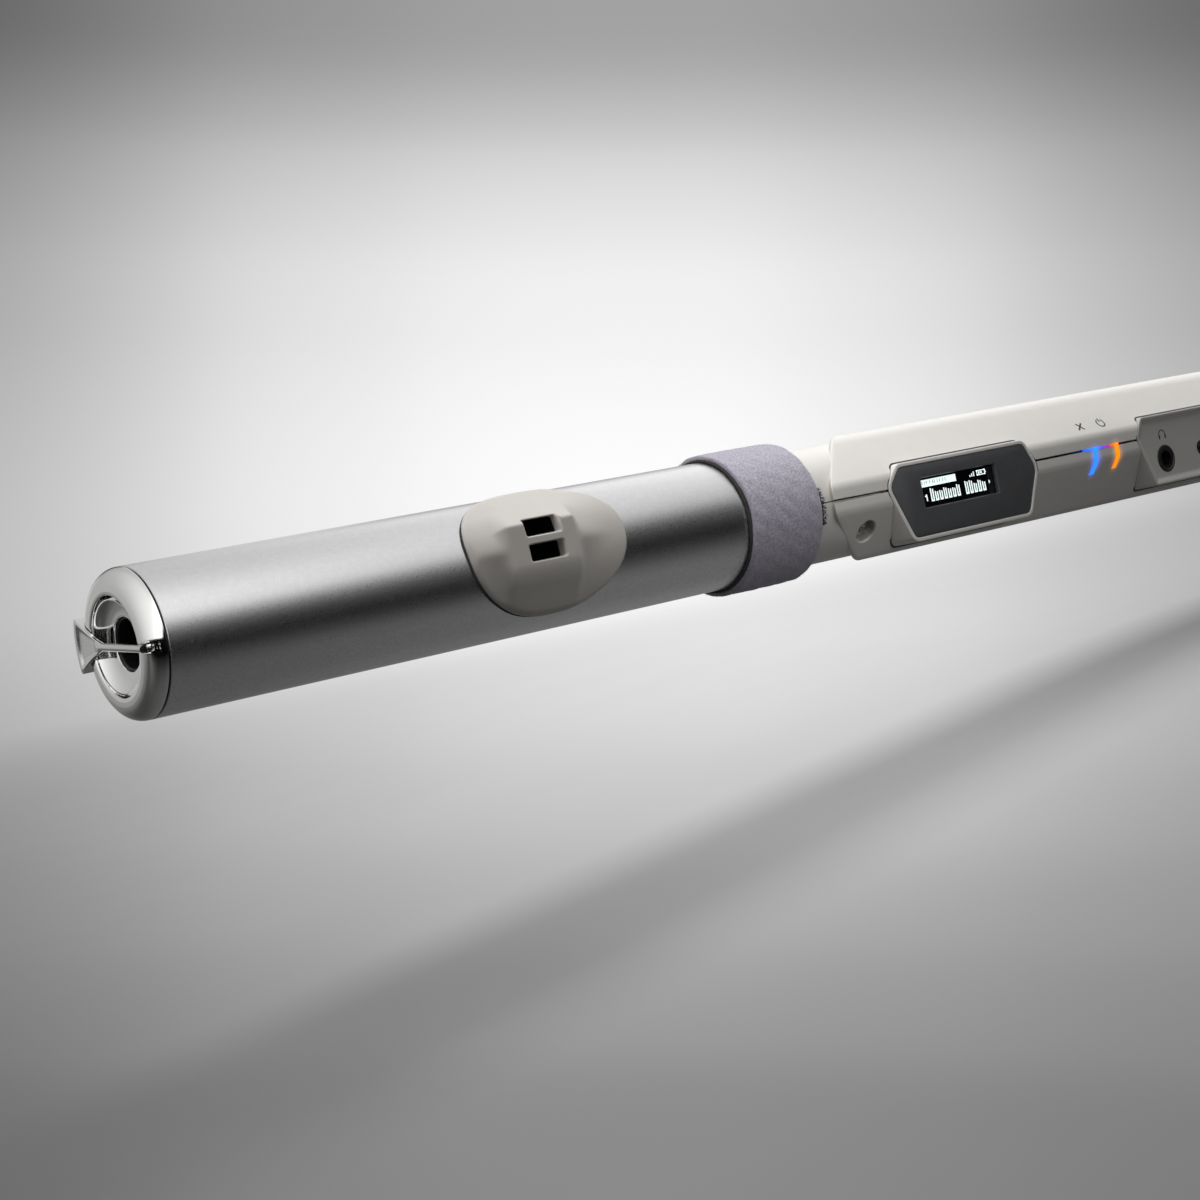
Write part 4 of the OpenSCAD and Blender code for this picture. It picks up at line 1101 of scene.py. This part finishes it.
def stroke(points, width, closed=False):
    """A flat printed line on the plane z = 0, through (x, y) points"""
    rings = []
    n = len(points)
    for i, p in enumerate(points):
        a = Vector(points[i - 1] if closed or i else p)
        b = Vector(points[(i + 1) % n] if closed or i < n - 1 else p)
        side = Vector((-(b - a).y, (b - a).x)).normalized() * width / 2
        p = Vector(p)
        rings.append([(*(p + side), 0), (*(p - side), 0), (*(p - side), 0.03), (*(p + side), 0.03)])
    return make("stroke", *loft(rings, wrap=closed))


def on_upper_slope(obj, x, up):
    """Moves a flat mark, drawn with y up, onto the player's upper slope, up mm from the slope's middle"""
    along_slope = Vector((0, math.sin(SLOPE), math.cos(SLOPE)))
    out = Vector((0, -math.cos(SLOPE), math.sin(SLOPE)))
    middle = Vector((x, -(HALF_W + TOP_FLAT / 2) / 2, (HALF_H + SIDE_FLAT / 2) / 2))
    turn = Matrix((Vector((1, 0, 0)), along_slope, out)).transposed().to_4x4()
    obj.data.transform(Matrix.Translation((middle + along_slope * up - out * 0.004) * MM) @ turn)
    return obj


def icons():
    """Crossed strokes and a power sign, over the two lights"""
    up = -3.4
    strokes = [[(-1.15, -0.95), (-0.1, -0.05), (1.15, 0.95)], [(-0.7, 0.95), (0.1, 0.05)],
               [(0, -0.05), (0.75, -1)]]
    ring = stroke(arc(0, 0, 1.12, 125, 415, 26), 0.34)
    bar = stroke([(0, 0.35), (0, 1.4)], 0.34)
    link = join("link_mark", [stroke(points, 0.42) for points in strokes])
    for mark, x in ((link, LINK_X - 1.1), (join("power_mark", [ring, bar]), POWER_X - 1.6)):
        place(on_upper_slope(mark, x, up), "body", MARK)


def stadium(cx, cz, width, height, grow, steps=10):
    r = height / 2 + grow
    side = (width - height) / 2
    return arc(cx + side, cz, r, -90, 90, steps) + arc(cx - side, cz, r, 90, 270, steps)


def panel_marks():
    """A headphone pictogram over the jack and a plug pictogram over the other socket, bare of words"""
    cups = [stroke([(x, -0.9), (x, 0.05)], 0.5) for x in (-1.05, 1.05)]
    phones = join("phones", [stroke(arc(0, 0, 1.1, -10, 190, 18), 0.24)] + cups)
    shell = stroke(stadium(0, 0, 2.6, 1.2, 0, 6), 0.22, closed=True)
    plug = join("plug", [shell, stroke([(-0.65, 0), (0.65, 0)], 0.24)])
    for obj, x in ((phones, JACK[0]), (plug, USB[0] + 0.6)):
        move = Matrix.Translation(Vector((x, PANEL_DIP - HALF_W, -0.1)) * MM)
        obj.data.transform(move @ Matrix.Rotation(math.pi / 2, 4, "X"))
    place(join("panel_marks", [phones, plug]), "body", MARK)


def panel_holes(floor):
    """Round holes for the jack and the buttons and a long one for the USB socket, with flared mouths"""
    holes = []
    rounds = [(JACK, JACK_R + 0.07, 0.25)]
    rounds += [((BUTTON_X + i * BUTTON_PITCH, BUTTON_Z), BUTTON_R + 0.15, 0.25) for i in range(4)]
    for (x, z), r, flare in rounds:
        holes.append(pin_y("hole", x, z, [(floor + 3, r), (floor + 0.1, r), (floor - 0.15, r + flare)]))
    usb = [stadium(*USB, 9, 3.2, grow) for grow in (0.08, 0.08, 0.3)]
    holes.append(prism_y("usb_hole", list(zip((floor + 3, floor + 0.1, floor - 0.15), usb))))
    return holes


def socket_panel():
    floor = PANEL_DIP - HALF_W
    rim = [(0, HALF_W - INSERT_BACK), (0, 0.2), (0.05, 0.08), (0.16, 0.01), (0.34, -0.01), (0.55, 0.02),
           (0.85, 0.14), (1.25, 0.34), (1.6, PANEL_DIP - 0.03), (1.9, PANEL_DIP)]
    stations = [(back - HALF_W, outline(PANEL, PANEL_ROUND, -inset)) for inset, back in rim]
    panel = prism_y("socket_panel_moulded", stations)
    inside = outline(PANEL, PANEL_ROUND, -1.3)
    hollow = prism_y("behind", [(-10.8, inside), (-4, inside)])
    cut(panel, [hollow] + panel_holes(floor))
    place(panel, "body", PANEL_SHADED_PLASTIC, ["socket_panel"])


def jack_mouth():
    """The jack's collar and the spring contact behind it"""
    floor = PANEL_DIP - HALF_W
    collar = [(0.02, JACK_R - 0.02), (-0.06, JACK_R - 0.12), (-0.08, JACK_R - 0.45), (0.1, JACK_R - 0.75),
              (0.5, 2.05), (0.6, 1.83), (3, 1.83), (3, JACK_R - 0.02)]
    contact = [(3.2, 1.79), (5.2, 1.79), (5.2, 1.62), (3.2, 1.62)]
    for name, profile, slot, material in (("jack_collar", collar, "black_plastic", BLACK_AND_SHADE),
                                          ("jack_contact", contact, "steel", STEEL)):
        ring = pin_y(name, *JACK, [(floor + y, r) for y, r in profile], 64, ring=True)
        place(ring, "body", material)


def foot_end():
    t = FOOT_CAP_T
    steps = ((0, 0.05), (0, t - 1.4), (0.12, t - 0.7), (0.5, t - 0.2), (1.1, t), (1.8, t))
    cap = make("cap", *loft([casing_ring(inset, FOOT_X + x) for inset, x in steps]))
    plug = make("plug", *loft([casing_ring(CASE_WALL + 0.1, FOOT_X + x) for x in (-5, 0.1)]))
    place(join("foot_cap_moulded", [cap, plug]), "body", SHELL, ["foot_cap"])


# Pieces whose CAD shape is right: a copy with rounded edges

def refined(node, body, material, bevel, steps=2):
    obj = nodes[node].copy()
    obj.name = node + "_finished"
    for key in list(obj.keys()):
        del obj[key]
    obj.parent = None
    bpy.context.scene.collection.objects.link(obj)
    edit = bmesh.new()
    edit.from_mesh(nodes[node].data)
    bmesh.ops.remove_doubles(edit, verts=edit.verts, dist=2e-6)
    bmesh.ops.dissolve_limit(edit, angle_limit=math.radians(0.6), verts=edit.verts, edges=edit.edges)
    bmesh.ops.recalc_face_normals(edit, faces=edit.faces)
    obj.data = bpy.data.meshes.new(obj.name)
    edit.to_mesh(obj.data)
    edit.free()
    soften(obj, bevel, steps, 35)
    return place(obj, body, material, [node], 35)


def keys_and_rods():
    for body, members in frame["record"]["behaviour"]["bodies"].items():
        for node in members:
            if node.endswith("_key"):
                refined(node, body, SILVER, 0.16, 3)
            if node.endswith("_button"):
                refined(node, body, BUTTON_LOOK, 0.35, 3)
            if node.endswith("_rod"):
                refined(node, body, STEEL, 0.2)
    refined("key_posts", "body", SILVER, 0.12)
    refined("key_springs", "body", DARK_STEEL, 0.06)
    refined("key_domes", "body", SILICONE, 0.25)


def plain_nodes():
    """CAD pieces that stay as they are, mostly out of sight"""
    boards = [node for node in nodes if node.endswith("_board")]
    black = ["crown_core", "breath_duct", "battery_cradle", "phones_jack"]
    for names, material in ((boards, BOARD), (black, BLACK_AND_SHADE), (["shell_screws", "usb_socket"], STEEL),
                            (["bail_pin"], DARK_STEEL), (["tenon_ring"], RUBBER), (["battery_cells"], CELL)):
        for name in names:
            nodes[name].data.materials.clear()
            nodes[name].data.materials.append(material)


# Floor, lights and camera

EYE = Vector((-149.27, -320.5, 0.0))
FORWARD = Vector((0.6058, 0.7953, -0.0236)).normalized()
RIGHT = FORWARD.cross(Vector((0.1725, -0.1023, 0.9797))).normalized()
UP = RIGHT.cross(FORWARD)
LENS = 64.14
SENSOR = 36

# Tone of the backdrop, by how far a direction leans along RIGHT and along UP from the camera's own: painted
# light, brightest in the middle
ACROSS = [(-1, 0.85), (-0.5, 0.72), (-0.34, 0.57), (-0.262, 0.585), (-0.18, 0.79), (-0.09, 0.935), (0, 1),
          (0.09, 0.96), (0.18, 0.8), (0.262, 0.6), (0.34, 0.57), (0.5, 0.72), (1, 0.85)]
UPWARDS = [(-1, 0.75), (-0.45, 0.5), (-0.32, 0.34), (-0.232, 0.32), (-0.206, 0.37), (-0.16, 0.46),
           (-0.115, 0.58), (-0.07, 0.72), (-0.023, 0.88), (0.023, 0.965), (0.07, 0.97), (0.115, 0.905),
           (0.16, 0.84), (0.206, 0.64), (0.236, 0.44), (0.27, 0.36), (0.36, 0.45), (0.5, 0.65), (1, 0.85)]
# Tone of the soft light in front and above, as polished metal sees it, by the distance from its lower edge
STUDIO = [(-1, 0.01), (-0.2, 0.015), (-0.07, 0.06), (0.04, 0.56), (0.13, 0.92), (0.3, 1.05), (0.5, 1.02),
          (0.66, 0.9), (0.78, 0.76), (0.9, 0.66), (1.3, 0.6)]
# Light that matt things get from all round, from below and from above
AMBIENT_LOW = 0.03
AMBIENT_HIGH = 0.3
FLOOR_Z = -74.5
FLOOR_RISE = 0.11
# The floor's share of light for matt things, and its own paleness
FLOOR_BOUNCE = 0.2
FLOOR_PALE = 0.85
# How bright the floor looks in metal, by y in metres
FLOOR_IN_METAL = [(-0.17, 0.01), (-0.09, 0.16), (-0.045, 0.36), (0, 0.5), (0.06, 0.36), (0.15, 0.5),
                  (0.35, 1)]


def product(tree, first, *others):
    for other in others:
        first = number(tree, "MULTIPLY", first, other)
    return first


def backdrop_tone(tree, way):
    """Painted light on the backdrop: it fades to its sides, most in its upper corners and least at its lower
    right
    """
    right, up = along(tree, way, RIGHT), along(tree, way, UP)
    height = number(tree, "MAXIMUM", number(tree, "MINIMUM", up, 0.25), -0.22)
    low_side = from_range(tree, right, -0.1, 0.1, 0.6, 2.6)
    share = product(tree, height, choose(tree, from_range(tree, up, -0.02, 0.02), low_side, 1.7))
    side_fade = number(tree, "SUBTRACT", 1.0, curve(tree, right, ACROSS))
    fade = product(tree, side_fade, number(tree, "ADD", share, 1.0))
    return product(tree, number(tree, "SUBTRACT", 1.0, fade), curve(tree, up, UPWARDS))


def studio_tone(tree, way):
    """The soft light that glossy things see in front of them and above, with darkness under its lower edge"""
    x_way = along(tree, way, (1, 0, 0))
    y_way = along(tree, way, (0, 1, 0))
    tilt = math.radians(20)
    edge = along(tree, way, (-1, math.sin(tilt), math.cos(tilt)))
    tone = curve(tree, number(tree, "ADD", edge, 0.465), STUDIO)
    lean = product(tree, from_range(tree, x_way, 0.365, 0.865, -0.1, 0.4), 4.5)
    gain = number(tree, "ADD", product(tree, lean, number(tree, "ADD", y_way, 0.1)), 1.0)
    left = from_range(tree, x_way, 0.387, 0.637, 1.3, 1)
    far_left = from_range(tree, x_way, 0, 0.25, 1.15, 1)
    return product(tree, tone, number(tree, "MAXIMUM", gain, 0.1), left, far_left)


def upper_left(tree, way):
    """Extra light high on the left, which the tube's top edge sees"""
    edges = ((RIGHT, -0.27, -0.22), (RIGHT, -0.1, -0.16), (UP, 0.08, 0.22), (UP, 0.55, 0.4))
    sides = [from_range(tree, along(tree, way, axis), *span, soft=True) for axis, *span in edges]
    return product(tree, 0.6, *sides)


def world():
    studio = bpy.data.worlds.new("studio")
    bpy.context.scene.world = studio
    studio.use_nodes = True
    tree = studio.node_tree
    way = add(tree, "TexCoord").outputs["Generated"]
    rays = add(tree, "LightPath").outputs
    right, ahead = along(tree, way, RIGHT), along(tree, way, FORWARD)
    back = backdrop_tone(tree, way)
    to_left = number(tree, "MAXIMUM", number(tree, "SUBTRACT", -0.12, right), 0.0)
    in_front = number(tree, "ADD", ahead, product(tree, to_left, 0.2))
    gloss = choose(tree, from_range(tree, in_front, 0.8, 0.93, soft=True), studio_tone(tree, way),
                   number(tree, "ADD", back, upper_left(tree, way)))
    dark_left = from_range(tree, right, -0.25, -0.31, 1, 0.18, soft=True)
    straight = from_range(tree, ahead, 0.86, 0.92, soft=True)
    gloss = product(tree, gloss, choose(tree, straight, 1.0, dark_left))
    ambient = from_range(tree, along(tree, way, (-0.35, -0.2, 0.915)), -0.3, 1, AMBIENT_LOW, AMBIENT_HIGH)
    seen_in_metal = number(tree, "MAXIMUM", rays["Is Glossy Ray"], rays["Is Transmission Ray"])
    tone = choose(tree, rays["Is Camera Ray"], choose(tree, seen_in_metal, ambient, gloss), back)
    fill(tree, tree.nodes["Background"], {"Color": tone})


def floor_height(x):
    """A gentle slope along x, which bends softly into level ground at both ends"""
    right_of_start = soft_max(x, -250, 120)
    return FLOOR_Z + FLOOR_RISE * soft_min(right_of_start, 300, 80)


def floor_paper():
    """Pale paper, whose tone is the backdrop's. Its light on matt things is weak, as undersides are dark"""
    material, tree, shader = blank("floor_paper")
    tree.nodes.remove(shader)
    spot = add(tree, "NewGeometry").outputs["Position"]
    away = vector(tree, "SUBTRACT", {0: spot, 1: EYE * MM})
    rays = add(tree, "LightPath").outputs
    grit = add(tree, "TexNoise", {"Vector": spot, "Scale": 30}).outputs["Fac"]
    straight = number(tree, "MAXIMUM", rays["Is Camera Ray"], rays["Is Transmission Ray"])
    in_metal = curve(tree, along(tree, spot, (0, 1, 0)), FLOOR_IN_METAL)
    shade = choose(tree, rays["Is Glossy Ray"], choose(tree, straight, FLOOR_BOUNCE, 1), in_metal)
    tone = backdrop_tone(tree, vector(tree, "NORMALIZE", {0: away}))
    tone = product(tree, tone, from_range(tree, grit, 0, 1, 0.985, 1.015), shade)
    far = from_range(tree, vector(tree, "LENGTH", {0: away}, "Value"), 0.35, 1.5, 0.12, 1, soft=True)
    share = product(tree, far, number(tree, "MAXIMUM", straight, rays["Is Glossy Ray"]))
    light = add(tree, "Emission", {"Color": tone}).outputs["Emission"]
    diffuse = add(tree, "BsdfDiffuse", {"Color": product(tree, tone, FLOOR_PALE)}).outputs["BSDF"]
    both = add(tree, "MixShader", {"Fac": share, 1: diffuse, 2: light})
    fill(tree, tree.nodes["Material Output"], {"Surface": both.outputs["Shader"]})
    return material


def floor():
    """A wide sheet of paper, in strips along x"""
    size = 40000
    xs = [-size, -500] + list(range(-400, 501, 20)) + [600, size]
    points = [(x, y, floor_height(x)) for x in xs for y in (-size, size)]
    faces = [(2 * i, 2 * i + 2, 2 * i + 3, 2 * i + 1) for i in range(len(xs) - 1)]
    obj = make("floor", points, faces)
    obj.data.polygons.foreach_set("use_smooth", [True] * len(faces))
    obj.data.materials.append(floor_paper())


def softbox(name, at, aim, size, power, spread=180):
    lamp = bpy.data.lights.new(name, "AREA")
    lamp.spread = math.radians(spread)
    lamp.shape = "RECTANGLE"
    lamp.size = size[0] * MM
    lamp.size_y = size[1] * MM
    lamp.energy = power
    obj = linked(name, lamp)
    obj.location = Vector(at) * MM
    obj.rotation_euler = (Vector(aim) - Vector(at)).to_track_quat("-Z", "Y").to_euler()
    obj.visible_camera = False
    obj.visible_glossy = False


def lighting():
    softbox("softbox_above", (150, 50, 640), (150, 20, 0), (1500, 640), 6.9)
    softbox("softbox_left", (125, -110, 60), (138, 0, -2), (90, 90), 0.0125, 104)


def camera():
    data = bpy.data.cameras.new("camera")
    data.lens = LENS
    data.sensor_width = SENSOR
    data.clip_start = 0.01
    data.clip_end = 200
    obj = linked("camera", data)
    turn = Matrix((RIGHT, UP, -FORWARD)).transposed().to_4x4()
    obj.matrix_world = Matrix.Translation(EYE * MM) @ turn
    bpy.context.scene.camera = obj


camera()
world()
floor()
lighting()
plain_nodes()
crown()
bail()
head_tube()
lip_plate()
lip_seal()
suede_band()
shells()
neck_shade_core()
seam_shade_strips()
insert_gap_shade("display_frame_gap_shade", BEZEL, BEZEL_ROUND, FRAME_BORDER)
insert_gap_shade("socket_panel_gap_shade", PANEL, PANEL_ROUND, 0)
display_frame()
display_bezel()
display_glass()
display_marks()
lights()
icons()
panel_marks()
socket_panel()
jack_mouth()
foot_end()
keys_and_rods()

bpy.context.scene.view_settings.view_transform = "Standard"
